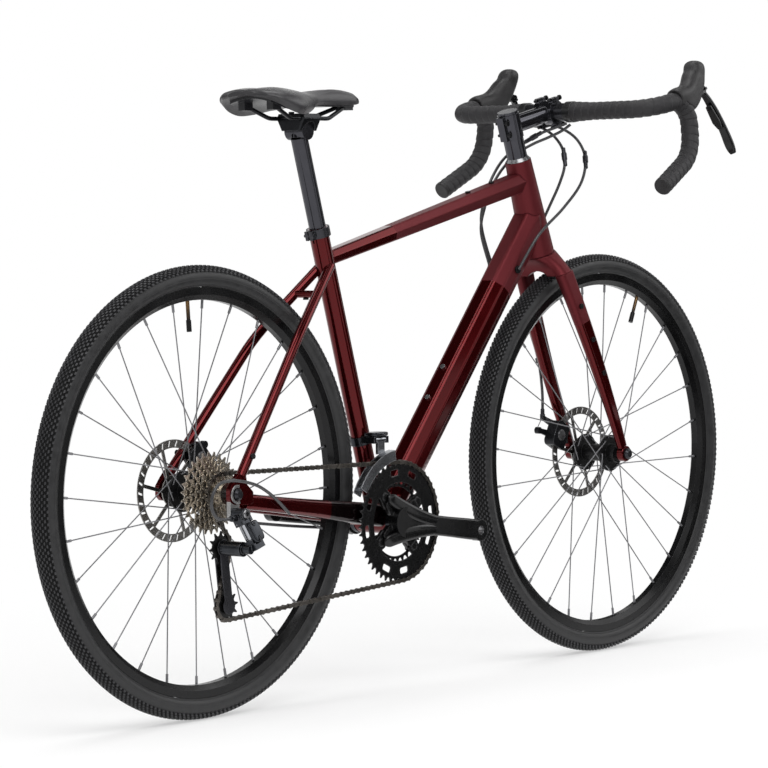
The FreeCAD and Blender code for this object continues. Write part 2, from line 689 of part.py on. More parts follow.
def seat_clamp():
    """Split collar with a rear ear and its bolt."""
    place = along_seat(dim.seat_tube_length - dim.clamp_height)
    ring = cylinder("clamp_ring", dim.clamp_diameter / 2, dim.clamp_height, place)
    ear_place = Placement(place)
    ear_place.Base = place.Base - SEAT_FORWARD * (dim.clamp_diameter / 2)
    ear = box("clamp_ear", dim.clamp_ear_length, dim.clamp_ear_width, dim.clamp_height, ear_place)
    bore = cylinder("clamp_bore", dim.seat_tube_diameter / 2, dim.clamp_height, place)
    slit_place = Placement(place)
    slit_place.Base = place.Base - SEAT_FORWARD * dim.clamp_diameter / 2
    slit = box("clamp_slit", dim.clamp_diameter, dim.seat_slot_width, dim.clamp_height, slit_place)
    middle = ear_place.Base + SEAT_DIR * (dim.clamp_height / 2) - SEAT_FORWARD * (dim.clamp_ear_length / 4)
    length = dim.clamp_ear_width + 2 * dim.bolt_head_height
    screw_place = across(middle - LEFT * (length / 2))
    hole = cylinder("clamp_hole", dim.bolt_shank_diameter / 2, length, screw_place)
    collar = cut("collar", fuse("clamp_body", ring, ear), bore, slit, hole)
    shank = cylinder("clamp_screw", dim.bolt_shank_diameter / 2, length, screw_place)
    head = cylinder("clamp_head", dim.bolt_head_diameter / 2, dim.bolt_head_height, screw_place)
    keep(group("clamp", collar, fuse("clamp_bolt", shank, head)), "seat_clamp")


def bottom_bracket_shell():
    place = across(BRACKET - LEFT * (dim.shell_width / 2))
    keep(tube("shell", dim.shell_diameter / 2, dim.shell_bore / 2, dim.shell_width, place), "bottom_bracket_shell")


def dropout_outline():
    """Corners of a dropout plate round the rear axle."""
    corner_shares = ((-1.05, -0.5), (-0.5, -1), (0.6, -1.05), (2.3, -1.1), (2.4, 0.1), (1.5, 0.9), (1.35, 1.9),
                     (0.35, 2.1), (-0.4, 1.3), (-1.05, 0.5))
    size = dim.dropout_radius
    return [REAR_AXLE + Vector(x * size, 0, z * size) for x, z in corner_shares]


def rear_plate(sign):
    """One dropout plate with its axle hole."""
    inner = sign * dim.rear_spacing / 2
    outer = inner + sign * dim.dropout_thickness
    made = plate(dropout_outline(), min(inner, outer), max(inner, outer), dim.dropout_radius / 3)
    reach = LEFT * dim.rear_spacing
    return made.cut(rod(REAR_AXLE - reach, REAR_AXLE + reach, dim.axle_diameter / 2 + dim.pin_gap))


def hanger_bolt():
    """Point on the mid plane that the rear derailleur's bolt passes."""
    return REAR_AXLE + Vector(-dim.hanger_back, 0, -dim.hanger_reach)


def hanger():
    """Replaceable hanger below the right dropout."""
    size = dim.hanger_radius
    middle = hanger_bolt()
    shoulder_shares = ((-1.0, 2.3), (-1.0, -0.7), (-0.5, -1.0), (0.5, -1.0), (1.0, -0.7), (1.4, 2.3))
    points = [middle + Vector(x * size, 0, z * size) for x, z in shoulder_shares]
    inner = dim.rear_spacing / 2
    made = plate(points, -inner - dim.dropout_thickness, -inner, size / 3).cut(rear_plate(-1))
    reach = LEFT * dim.rear_spacing
    axle_hole = rod(REAR_AXLE - reach, REAR_AXLE + reach, dim.axle_diameter / 2 + dim.pin_gap)
    bolt_hole = rod(middle - reach, middle + reach, dim.bolt_shank_diameter + dim.pin_gap)
    return biggest(made.cut(axle_hole).cut(bolt_hole))


def rear_dropouts():
    feature("rear_dropouts", rear_plate(-1), rear_plate(1), hanger())


def seatstay_points():
    """Route of the right seatstay: seat tube, bend and dropout."""
    top = BRACKET + SEAT_DIR * (dim.seat_tube_length - dim.seatstay_top_drop) - LEFT * dim.seatstay_top_spread
    bend = Vector(top.x - dim.seatstay_bend_back, -dim.seatstay_bend_spread, top.z - dim.seatstay_bend_drop)
    end = REAR_AXLE + Vector(dim.seatstay_end_back * 2, -dim.seatstay_end_spread, dim.seatstay_end_rise)
    return top, bend, end


def rack_bolt():
    """Seat and axis of the rack bolt on the right seatstay, just above its dropout."""
    top, bend, end = seatstay_points()
    run = bend - end
    run.normalize()
    outward = run.cross(FORWARD)
    if outward.y > 0:
        outward = outward * -1
    outward.normalize()
    return end + run * dim.rack_bolt_rise + outward * (dim.seatstay_diameter / 2), outward


def seatstay():
    path = bent_wire(seatstay_points(), [dim.seatstay_bend_radius])
    tubes = pipe(path, dim.seatstay_diameter / 2)
    tubes = tubes.cut(seat_envelope()).cut(rear_plate(-1))
    return drilled(biggest(tubes), [rack_bolt()])


def chainstay_stations():
    """Centre, width and height of the right chainstay, from the dropout forwards."""
    slope = BRACKET - REAR_AXLE
    slope.normalize()
    root = BRACKET + UP * dim.chainstay_root_rise
    rear = REAR_AXLE + slope * dim.chainstay_end_run - UP * dim.chainstay_end_drop
    length = dim.chainstay_length
    stations = []
    for run, spread, width, height in (
            (dim.chainstay_end_run, dim.chainstay_end_spread, dim.chainstay_end_width, dim.chainstay_end_height),
            (dim.chainstay_dent_run, dim.chainstay_dent_spread, dim.chainstay_end_width, dim.chainstay_end_height),
            (dim.chainstay_mid_run, dim.chainstay_mid_spread, dim.chainstay_mid_width, dim.chainstay_mid_height),
            (dim.chainstay_waist_run, dim.chainstay_waist_spread, dim.chainstay_root_width,
             dim.chainstay_root_height),
            (length, dim.chainstay_root_spread, dim.chainstay_root_width, dim.chainstay_root_height)):
        share = (run - dim.chainstay_end_run) / (length - dim.chainstay_end_run)
        stations.append((rear + (root - rear) * share - LEFT * spread, width, height))
    return stations


def chainstay():
    stations = chainstay_stations()
    wires = []
    for index, (point, width, height) in enumerate(stations):
        before = stations[max(index - 1, 0)][0]
        after = stations[min(index + 1, len(stations) - 1)][0]
        run = after - before
        run.normalize()
        wires.append(rectangle(frame_at(point, run, LEFT), width, height, width * 0.45))
    made = Part.makeLoft(wires, True, False)
    for trim in (shell_envelope(), seat_envelope(), rear_plate(-1)):
        made = made.cut(trim)
    return biggest(made)


def bridge_ends():
    """Centres of the seatstay bridge's two ends."""
    top, bend, end = seatstay_points()
    run = bend - top
    run.normalize()
    right = top + run * dim.bridge_share_run
    return right, Vector(right.x, -right.y, right.z)


def rear_stays():
    """Chainstays, seatstays and the bridge between the seatstays."""
    stay = seatstay()
    right, left = bridge_ends()
    link = rod(right, left, dim.bridge_diameter / 2)
    tubes = pipe(bent_wire(seatstay_points(), [dim.seatstay_bend_radius]), dim.seatstay_diameter / 2)
    link = biggest(link.cut(tubes).cut(mirrored(tubes)))
    link = drilled(link, [bridge_bolt()])
    feature("rear_stays", *pair(chainstay()), *pair(stay), link)


def bridge_bolt():
    right, left = bridge_ends()
    middle = (right + left) / 2
    return middle - UP * (dim.bridge_diameter / 2), UP * -1


def port(point, axis):
    """Cable port on the down tube's side: a low boss that the housing enters."""
    return rod(point, point + axis * dim.port_height, dim.port_diameter / 2)


def port_points():
    """Where the housings enter the down tube: two on the left, one on the right."""
    rear, front, run = down_tube_axis()
    lift = run.cross(LEFT)
    half = dim.down_tube_width / 2
    base = front - run * dim.port_run
    offset = dim.port_diameter / 2 + dim.running_gap
    return {"front_shift": base - LEFT * half, "rear_shift": base + LEFT * half - lift * offset,
            "rear_brake": base + LEFT * half + lift * offset}


def frame_fittings():
    """Frame bolts and the cable ports."""
    seats = top_bolts() + down_bolts() + seat_bolts() + [bridge_bolt()]
    solids = [bolt(seat, axis) for seat, axis in seats]
    solids += pair(bolt(*rack_bolt()))
    housings = steering_housings()
    for name, point in port_points().items():
        boss = port(point, LEFT if point.y > 0 else LEFT * -1)
        solids.append(biggest(boss.cut(housings[name])))
    feature("frame_fittings", *solids)


# Axles
def axle(label, centre, spacing, ends):
    """Thru axle with its domed head on the right, and the sleeve that the hub turns on."""
    half = spacing / 2
    right, left = centre - LEFT * ends, centre + LEFT * ends
    neck = dim.axle_head_height / 2
    head = rod(right, right - LEFT * neck, dim.axle_head_diameter / 2)
    dome = Part.makeCone(dim.axle_head_diameter / 2, dim.axle_diameter / 2, neck, right - LEFT * neck, LEFT * -1)
    shaft = rod(right, left, dim.axle_diameter / 2).fuse([head, dome]).removeSplitter()
    tube_wall = sleeve(centre - LEFT * half, centre + LEFT * half, dim.axle_sleeve_diameter / 2,
                       dim.axle_diameter / 2 + dim.pin_gap)
    feature(label, shaft, tube_wall)


# Fork
def fork_crown():
    """Steerer and the crown that joins the two blades."""
    base = -dim.head_tube_length - dim.running_gap
    low = base - dim.crown_height
    top_width = dim.head_base_diameter
    foot_width = 2 * dim.blade_top_spread + dim.blade_top_width
    lead = HEAD_FORWARD * dim.crown_lead
    rows = ((base, top_width, top_width, 0), ((base + low) / 2, dim.crown_waist_width, dim.crown_depth, 1),
            (low, foot_width, dim.crown_depth, 1))
    wires = []
    for height, width, depth, shifted in rows:
        place = along_steerer(height)
        place.Base = place.Base + lead * shifted
        wires.append(outline(((-0.5, -0.5), (0.5, -0.5), (0.5, 0.5), (-0.5, 0.5)), place, depth, width,
                             depth * 0.42))
    crown = Part.makeLoft(wires, True, False)
    arch = along_steerer(base - dim.arch_drop - dim.arch_width / 2).Base
    reach = HEAD_FORWARD * dim.crown_depth * 2
    crown = crown.cut(rod(arch - reach, arch + reach, dim.arch_width / 2))
    foot = along_steerer(base - dim.bearing_depth).Base
    seat = HEAD_BASE + HEAD_DIR * dim.bearing_depth
    top = HEAD_TOP + HEAD_DIR * (STEM_RISE + dim.stem_clamp_height / 2)
    flare = Part.makeCone(dim.steerer_base_diameter / 2, dim.steerer_diameter / 2, dim.steerer_flare_length,
                          seat, HEAD_DIR)
    parts = [rod(foot, seat, dim.steerer_base_diameter / 2), flare, rod(foot, top, dim.steerer_diameter / 2)]
    made = crown.fuse(parts).cut(rod(foot, top, dim.steerer_bore / 2)).removeSplitter()
    feature("fork_crown", biggest(made))


def blade_stations():
    """Centre, width and depth of the right blade, from the crown down."""
    low = -dim.head_tube_length - dim.running_gap - dim.crown_height
    top = along_steerer(low).Base + HEAD_FORWARD * dim.crown_lead
    run = FRONT_AXLE - top
    rows = ((0, dim.blade_top_spread, dim.blade_top_width, dim.blade_top_depth),
            (0.5, dim.blade_mid_spread, dim.blade_mid_width, dim.blade_mid_depth),
            (0.96, dim.blade_end_spread, dim.blade_end_width, dim.blade_end_depth))
    return [(top + run * share - LEFT * spread, width, depth) for share, spread, width, depth in rows]


def surface_point(shape, inside, axis):
    """Where a line from inside a shape comes out of it."""
    line = Part.makeLine(inside, inside + axis * dim.fork_spacing).common(shape)
    return max((vertex.Point for vertex in line.Vertexes), key=lambda point: (point - inside).dot(axis))


def fork_bosses(blade):
    """Seats of the three bolts on the outside of the right blade."""
    stations = blade_stations()
    run = stations[-1][0] - stations[0][0]
    run = Vector(run.x, 0, run.z)
    run.normalize()
    seats = []
    for step in range(3):
        distance = dim.fork_boss_drop + step * dim.fork_boss_spacing
        inside = Vector(stations[0][0].x, -dim.blade_mid_spread, stations[0][0].z) + run * distance
        seats.append((surface_point(blade, inside, LEFT * -1), LEFT * -1))
    return seats


def bare_blade():
    """Right blade with its axle tip, before the boss holes."""
    stations = blade_stations()
    wires = []
    for index, (point, width, depth) in enumerate(stations):
        run = HEAD_DIR * -1 if index == 0 else point - stations[index - 1][0]
        run.normalize()
        side = HEAD_FORWARD if index == 0 else run.cross(LEFT)
        wires.append(rectangle(frame_at(point, run, side * (1 if side.x > 0 else -1)), depth, width, width * 0.45))
    made = Part.makeLoft(wires, True, False)
    inner = FRONT_AXLE - LEFT * (dim.fork_spacing / 2)
    tip = rod(inner, inner - LEFT * dim.fork_tip_thickness, dim.fork_tip_diameter / 2)
    made = made.fuse(tip).removeSplitter()
    reach = LEFT * dim.fork_spacing
    made = made.cut(rod(FRONT_AXLE - reach, FRONT_AXLE + reach, dim.axle_diameter / 2 + dim.pin_gap))
    return biggest(made)


def fork_blade():
    blade = bare_blade()
    return drilled(blade, fork_bosses(blade))


def fork_blades():
    feature("fork_blades", *pair(fork_blade()))


def headset_spacers():
    """Cover over the upper bearing, spacers and the top cap."""
    bore = dim.steerer_diameter / 2
    gap = dim.running_gap
    cover = cut("cover", cone("cover_cone", dim.cover_diameter / 2, dim.spacer_diameter / 2,
                              dim.cover_height - gap, along_steerer(gap)),
                cylinder("cover_bore", bore, dim.cover_height, along_steerer(0)))
    stack = tube("spacer", dim.spacer_diameter / 2, bore, dim.spacer_height, along_steerer(dim.cover_height))
    cap = cylinder("top_cap", dim.spacer_diameter / 2, dim.top_cap_height,
                   along_steerer(STEM_RISE + dim.stem_clamp_height / 2))
    keep(group("stack_group", cover, stack, cap), "headset_spacers")


def stem_bolts():
    """Centre lines of the stem's bolts: two behind the steerer, four through the faceplate."""
    lift = STEM_DIR.cross(LEFT)
    lines = []
    for step in (-1, 1):
        start = STEM_ROOT - HEAD_FORWARD * (dim.stem_clamp_diameter / 2 + dim.stem_ear / 2)
        start = start + HEAD_DIR * (step * dim.stem_clamp_height / 4)
        half = LEFT * (dim.stem_ear + dim.stem_bolt_head / 2)
        lines.append((start - half, start + half))
    radius = dim.bar_clamp_diameter / 2 + dim.bar_clamp_wall
    for height in (-1, 1):
        for side in (-1, 1):
            start = BAR_CENTRE + lift * (height * (radius + dim.stem_ear / 3))
            start = start + LEFT * (side * (dim.bar_clamp_width - dim.stem_bolt_head) / 2)
            lines.append((start + STEM_DIR * radius * 0.75, start - STEM_DIR * radius * 0.75))
    return lines


def stem_holes():
    return [rod(start, end, dim.stem_bolt_diameter / 2 + dim.seat_gap) for start, end in stem_bolts()]


def bar_block(near):
    """Half of the bar clamp: the stem's half or the faceplate's, with a lug at each bolt."""
    lift = STEM_DIR.cross(LEFT)
    half = LEFT * (dim.bar_clamp_width / 2)
    radius = dim.bar_clamp_diameter / 2
    ring = rod(BAR_CENTRE - half, BAR_CENTRE + half, radius + dim.bar_clamp_wall)
    ear = 2 * (radius + dim.bar_clamp_wall + dim.stem_ear * 0.8)
    place = frame_at(BAR_CENTRE - STEM_DIR * (radius * 0.6), STEM_DIR, LEFT)
    lugs = []
    for start in (-dim.bar_clamp_width / 2, dim.bar_clamp_width / 2 - dim.stem_bolt_head):
        lug = Part.makeBox(dim.stem_bolt_head, ear, radius * 1.2)
        lug.Placement = Placement(place.multVec(Vector(start, -ear / 2, 0)), place.Rotation)
        lugs.append(lug)
    side = -1 if near else 1
    keeper = Part.makeBox(ear * 2, ear * 2, ear)
    start = BAR_CENTRE + STEM_DIR * (side * dim.faceplate_gap / 2)
    keep_place = frame_at(start, STEM_DIR * side, LEFT)
    keeper.Placement = Placement(keep_place.multVec(Vector(-ear, -ear, 0)), keep_place.Rotation)
    made = ring.fuse(lugs).common(keeper)
    return made.cut(rod(BAR_CENTRE - half * 2, BAR_CENTRE + half * 2, radius)), lift


def stem():
    half = HEAD_DIR * (dim.stem_clamp_height / 2)
    clamp = rod(STEM_ROOT - half, STEM_ROOT + half, dim.stem_clamp_diameter / 2)
    ear_place = frame_at(STEM_ROOT - half - HEAD_FORWARD * (dim.stem_clamp_diameter / 2 + dim.stem_ear), HEAD_DIR,
                         HEAD_FORWARD)
    ear = Part.makeBox(dim.stem_ear * 2, dim.stem_ear * 2, dim.stem_clamp_height)
    ear.Placement = Placement(ear_place.multVec(Vector(0, -dim.stem_ear, 0)), ear_place.Rotation)
    body = rod(STEM_ROOT, BAR_CENTRE - STEM_DIR * (dim.bar_clamp_diameter / 2), dim.stem_body_diameter / 2)
    near, lift = bar_block(True)
    made = clamp.fuse([ear, body, near])
    reach = HEAD_DIR * dim.stem_clamp_height
    made = made.cut(rod(STEM_ROOT - reach, STEM_ROOT + reach, dim.steerer_diameter / 2))
    reach = LEFT * dim.bar_clamp_width
    made = made.cut(rod(BAR_CENTRE - reach, BAR_CENTRE + reach, dim.bar_clamp_diameter / 2))
    for hole in stem_holes():
        made = made.cut(hole)
    feature("stem", biggest(made.removeSplitter()))
    face, lift = bar_block(False)
    for hole in stem_holes():
        face = face.cut(hole)
    feature("stem_faceplate", biggest(face))


def fork_bolts():
    """Stem bolts and the bolts on the fork's bosses."""
    solids = []
    for start, end in stem_bolts():
        run = start - end
        run.normalize()
        shank = rod(start, end, dim.stem_bolt_diameter / 2)
        head = rod(start, start + run * dim.bolt_head_height, dim.stem_bolt_head / 2)
        solids.append(shank.fuse(head).removeSplitter())
    blade = fork_blade()
    for seat, axis in fork_bosses(bare_blade()):
        solids += pair(biggest(bolt(seat, axis).cut(blade)))
    feature("fork_bolts", *solids)


# Handlebar
def bar_corners():
    """Corners of the right half of the bar, from the stem to the drop's end."""
    half = dim.bar_half_width
    corner = BAR_CENTRE + Vector(dim.bar_forward, -half, dim.bar_rise)
    front = corner + Vector(dim.bar_reach - dim.bar_forward, 0, dim.bar_ramp_rise)
    hook = front + Vector(-dim.bar_hook_back, -dim.bar_hook_flare, -dim.bar_hook_drop)
    end = hook + Vector(-dim.bar_end_back, -dim.bar_end_flare, -dim.bar_end_drop)
    return [BAR_CENTRE, corner, front, hook, end]


def bar_path():
    return bent_wire(bar_corners(), [dim.bar_corner_radius, dim.bar_front_radius, dim.bar_hook_radius])


def bar_solid():
    """The bare bar, thickest at the stem."""
    half = pipe(bar_path(), dim.bar_diameter / 2)
    bulge = dim.bar_bulge_width / 2
    thick = rod(BAR_CENTRE - LEFT * bulge, BAR_CENTRE + LEFT * bulge, dim.bar_clamp_diameter / 2)
    tapers = [Part.makeCone(dim.bar_clamp_diameter / 2, dim.bar_diameter / 2, dim.bar_taper_length,
                            BAR_CENTRE + LEFT * (sign * bulge), LEFT * sign) for sign in (-1, 1)]
    return half.fuse([mirrored(half), thick] + tapers).removeSplitter()


def point_along(path, distance):
    """Point and direction on a path at a distance from its start."""
    for edge in path.Edges:
        if distance <= edge.Length:
            at = edge.getParameterByLength(distance)
            return edge.valueAt(at), edge.tangentAt(at)
        distance = distance - edge.Length
    edge = path.Edges[-1]
    return edge.valueAt(edge.LastParameter), edge.tangentAt(edge.LastParameter)


def tape_outer():
    """Outside of the right tape: each wrap rises from under the last one to its own edge."""
    path = bar_path()
    length = path.Length
    thin = dim.bar_diameter / 2 + dim.tape_thickness
    thick = dim.bar_clamp_diameter / 2 + dim.tape_thickness / 2
    fade = dim.bar_bulge_width / 2 + dim.bar_taper_length
    wraps = int((length - dim.tape_start) / dim.tape_wrap)
    wrap = (length - dim.tape_start) / wraps
    side = UP
    wires = []
    for index in range(wraps):
        start = dim.tape_start + index * wrap
        for offset, step in ((0, dim.tape_step), (wrap - dim.tape_edge, 0)):
            distance = start + offset
            point, run = point_along(path, distance)
            side = side - run * side.dot(run)
            side.normalize()
            bulge = min(max(1 - distance / fade, 0) * 2, 1)
            ring = Part.Wire(Part.makeCircle(thin + (thick - thin) * bulge + step))
            ring.Placement = frame_at(point, run, side)
            wires.append(ring)
    return Part.makeLoft(wires, True, True)


def bar_tape(bar):
    """Wound tape on both halves of the bar, with a plug in each end."""
    point, run = point_along(bar_path(), bar_path().Length)
    solids = list(pair(biggest(tape_outer().cut(bar))))
    plug = rod(point, point + run * dim.plug_length, dim.bar_diameter / 2 + dim.tape_thickness)
    feature("bar_tape", *solids, *pair(plug))


# Hoods, levers and paddles
def hood_root():
    """Front corner of the right half of the bar, which carries the hood."""
    return bar_corners()[2]


def lever_pivot():
    return hood_root() + Vector(dim.lever_lead, dim.bar_hook_flare, dim.lever_rise)


def lever_axis():
    """The levers' hinge axis: level, square to the flared drop."""
    flare = math.radians(dim.lever_flare)
    return Vector(0, math.cos(flare / 2), -math.sin(flare / 2))


def hood_stations():
    """Rows of shares of the hood's length, height and width, with the direction of each section."""
    hood_shares = ((-0.47, -0.1, 0, 0.97, 0.51, 12), (-0.38, -0.08, 0, 1.0, 0.57, 12),
                   (-0.05, -0.06, 0.06, 1.03, 0.72, 22), (0.25, 0.2, 0.2, 1.0, 0.68, 45),
                   (0.42, 0.52, 0.33, 1.0, 0.6, 68), (0.5, 0.76, 0.42, 1.0, 0.52, 84),
                   (0.51, 0.87, 0.44, 0.86, 0.45, 89), (0.512, 0.935, 0.445, 0.55, 0.3, 90),
                   (0.512, 0.96, 0.445, 0.25, 0.14, 90))
    root = hood_root()
    rows = []
    for run, rise, inward, width, depth, tilt in hood_shares:
        point = root + Vector(run * dim.hood_length, inward * dim.hood_width, rise * dim.hood_height)
        turn = math.radians(tilt)
        direction = Vector(math.cos(turn), 0, math.sin(turn))
        rows.append((frame_at(point, direction, LEFT), width * dim.hood_width, depth * dim.hood_height))
    return rows


def brake_hood(bar):
    """Rubber hood over the lever's bracket, slotted for the lever."""
    corner_share = 0.4
    wires = [rectangle(place, width, depth, min(width, depth) * corner_share)
             for place, width, depth in hood_stations()]
    made = Part.makeLoft(wires, True, False)
    made = made.cut(tape_outer()).cut(bar)
    pivot = lever_pivot()
    axis = lever_axis()
    half = dim.lever_slot / 2
    slot_place = frame_at(pivot - axis * half, axis, FORWARD)
    size = dim.lever_barrel_diameter + 2 * dim.running_gap
    slot = Part.makeBox(dim.hood_length, dim.hood_height, dim.lever_slot)
    slot.Placement = Placement(slot_place.multVec(Vector(-size / 2, -size / 2, 0)), slot_place.Rotation)
    made = made.cut(slot)
    pin_half = axis * (dim.lever_pin_length / 2 + dim.running_gap)
    made = made.cut(rod(pivot - pin_half, pivot + pin_half, dim.lever_pin_diameter / 2 + dim.pin_gap))
    return biggest(made)


def brake_hoods(bar):
    feature("brake_hoods", *pair(brake_hood(bar)))


def lever_points():
    """Centre line of the right lever blade, from its hinge to its tip."""
    blade_shares = ((0, 0, 0), (0.16, -0.13, 0.03), (0.3, -0.36, 0.09), (0.42, -0.66, 0.18), (0.47, -0.9, 0.26),
                    (0.5, -0.97, 0.28))
    pivot = lever_pivot()
    return [pivot + Vector(x * dim.lever_length, -y * dim.lever_length, z * dim.lever_length)
            for x, z, y in blade_shares]


def lever_blade():
    """Right brake lever: barrel, hinge pin and the curved blade."""
    points = lever_points()
    axis = lever_axis()
    width_shares = (0.8, 0.8, 0.95, 1.0, 0.95, 0.6)
    wires = []
    for index, point in enumerate(points):
        run = points[min(index + 1, len(points) - 1)] - points[max(index - 1, 0)]
        run.normalize()
        width = dim.lever_width * width_shares[index]
        wires.append(rectangle(frame_at(point, run, axis), width, dim.lever_thickness,
                               dim.lever_thickness * 0.4))
    blade = Part.makeLoft(wires, True, False)
    pivot = lever_pivot()
    half = axis * (dim.lever_slot / 2 - dim.running_gap)
    barrel = rod(pivot - half, pivot + half, dim.lever_barrel_diameter / 2)
    pin_half = axis * (dim.lever_pin_length / 2)
    hinge = rod(pivot - pin_half, pivot + pin_half, dim.lever_pin_diameter / 2)
    return biggest(blade.fuse([barrel, hinge, paddle_pin()]).removeSplitter())


def paddle_frame():
    """Hinge point of the right paddle on the blade's chord, the chord's direction and the way back."""
    points = lever_points()
    run = points[3] - points[1]
    run.normalize()
    back = lever_axis().cross(run)
    if back.x > 0:
        back = back * -1
    back.normalize()
    return points[1] + run * dim.paddle_drop, run, back


def paddle_pin():
    """Pin on the back of the blade that the paddle swings on, with a head that keeps it there."""
    root, run, back = paddle_frame()
    seat = dim.lever_thickness / 2 + dim.paddle_gap + dim.paddle_thickness + dim.running_gap
    shank = rod(root - back * (dim.lever_thickness / 2), root + back * seat, dim.paddle_pin / 2)
    head = rod(root + back * seat, root + back * (seat + dim.paddle_head_height), dim.paddle_head / 2)
    return shank.fuse(head)


def paddle():
    """Right shift paddle: a leaf behind the lever blade, hung on its pin."""
    root, run, back = paddle_frame()
    offset = back * (dim.lever_thickness / 2 + dim.paddle_gap)
    middle = root + run * (dim.paddle_length / 2 - dim.paddle_head) + offset
    place = frame_at(middle, back, run)
    leaf_shares = ((-0.5, -0.35), (0.2, -0.5), (0.5, -0.2), (0.5, 0.35), (0.2, 0.5), (-0.5, 0.35))
    wire = outline(leaf_shares, place, dim.paddle_length, dim.paddle_width, dim.paddle_thickness)
    leaf = Part.Face(wire).extrude(back * dim.paddle_thickness)
    reach = back * dim.paddle_length
    return leaf.cut(rod(root - reach, root + reach, dim.paddle_pin / 2 + dim.pin_gap))


def levers():
    blade = lever_blade()
    leaf = paddle()
    for name, shape in (("brake_lever", blade), ("shift_lever", leaf)):
        feature(name + "_right", shape)
        feature(name + "_left", mirrored(shape))


# Seatpost and saddle
def seatpost():
    """Hollow post with a cross barrel that the rail clamp tilts on."""
    radius = dim.post_diameter / 2
    bottom = dim.seat_tube_length + dim.post_exposed - dim.post_length
    post = tube("post_tube", radius, radius - dim.post_wall, dim.post_length, along_seat(bottom))
    neck = cylinder("post_neck", radius, dim.post_head_rise, frame_at(POST_TOP, UP, FORWARD))
    barrel = cylinder("post_barrel", dim.post_head_diameter / 2, dim.post_head_width,
                      across(POST_HEAD - LEFT * (dim.post_head_width / 2)))
    keep(fuse("post", post, neck, barrel), "seatpost")


def rail_wire():
    """Route of the right saddle rail, from the nose to the rear."""
    half = dim.rail_spacing / 2
    ahead = RAIL_CENTRE + Vector(dim.rail_straight / 2, -half, 0)
    behind = RAIL_CENTRE + Vector(-dim.rail_straight / 2, -half, 0)
    nose = ahead + Vector(dim.rail_front_run, dim.rail_front_spread, dim.rail_front_rise)
    rear = behind + Vector(-dim.rail_rear_run, half - dim.rail_rear_spread / 2, dim.rail_rear_rise)
    return bent_wire([nose, ahead, behind, rear], [dim.rail_bend_radius] * 2)


def saddle_rails():
    feature("saddle_rails", *pair(pipe(rail_wire(), dim.rail_diameter / 2)))


def rail_clamp():
    """Lower cradle on the post's barrel, upper plate and the two clamp bolts."""
    gap = dim.running_gap
    length, width, thick = dim.rail_clamp_length, dim.rail_clamp_width, dim.rail_clamp_plate
    base = RAIL_CENTRE - Vector(length / 2, width / 2, dim.rail_rise - gap)
    foot_place = frame_at(Vector(RAIL_CENTRE.x, 0, base.z), UP, FORWARD)
    seat_place = frame_at(RAIL_CENTRE, UP, FORWARD)
    cradle = Part.makeLoft([rectangle(foot_place, length, dim.post_head_width, thick / 2),
                            rectangle(seat_place, length, width, thick / 2)], True, True)
    low_place = frame_at(RAIL_CENTRE + UP * gap, UP, FORWARD)
    high_place = frame_at(RAIL_CENTRE + UP * (gap + thick), UP, FORWARD)
    top = Part.makeLoft([rectangle(low_place, length, width, thick / 2),
                         rectangle(high_place, length, width - thick, thick / 2)], True, True)
    reach = LEFT * dim.rail_clamp_width
    barrel = rod(POST_HEAD - reach, POST_HEAD + reach, dim.post_head_diameter / 2 + gap)
    cradle = cradle.cut(barrel)
    rails = [rod(RAIL_CENTRE + Vector(-length, side * dim.rail_spacing / 2, 0),
                 RAIL_CENTRE + Vector(length, side * dim.rail_spacing / 2, 0),
                 dim.rail_diameter / 2 + dim.pin_gap) for side in (-1, 1)]
    bolts = []
    for step in (-1, 1):
        seat = RAIL_CENTRE + Vector(step * (length / 2 - dim.bolt_head_diameter / 2), 0, thick + gap)
        foot = Vector(seat.x, 0, base.z)
        hole = rod(foot, seat, dim.bolt_shank_diameter / 2 + dim.pin_gap)
        cradle, top = cradle.cut(hole), top.cut(hole)
        shank = rod(foot, seat, dim.bolt_shank_diameter / 2)
        bolts.append(shank.fuse(rod(seat, seat + UP * dim.bolt_head_height, dim.bolt_head_diameter / 2)))
    for rail in rails:
        cradle, top = cradle.cut(rail), top.cut(rail)
    feature("saddle_clamp", biggest(cradle), biggest(top), *[screw.removeSplitter() for screw in bolts])


def saddle_rows():
    """Stations of the saddle from tail to nose: place, half width, top height, depth and arch below."""
    # Shares of the length, of the half width, of the crown's height lost, and of the crown's depth.
    saddle_shares = ((0, 0.41, 0.28, 0.36), (0.018, 0.68, 0.16, 0.6), (0.073, 0.9, 0.08, 1.0),
                     (0.147, 0.99, 0, 1.48), (0.238, 1.0, 0.04, 1.68), (0.33, 0.9, 0.14, 1.5),
                     (0.421, 0.71, 0.24, 1.16), (0.513, 0.49, 0.22, 0.9), (0.623, 0.36, 0.1, 0.94),
                     (0.733, 0.29, 0, 1.04), (0.842, 0.26, 0.04, 0.96), (0.934, 0.225, 0.2, 0.76),
                     (0.982, 0.15, 0.44, 0.44), (1, 0.07, 0.6, 0.2))
    tail = RAIL_CENTRE.x + dim.saddle_nose_lead - dim.saddle_length
    rows = []
    for run, width, drop, depth in saddle_shares:
        top = RAIL_CENTRE.z + dim.saddle_top_rise - drop * dim.saddle_crown
        arch = dim.saddle_arch * width * depth * 0.6
        rows.append((tail + run * dim.saddle_length, width * dim.saddle_width / 2, top,
                     depth * dim.saddle_crown, arch))
    return rows


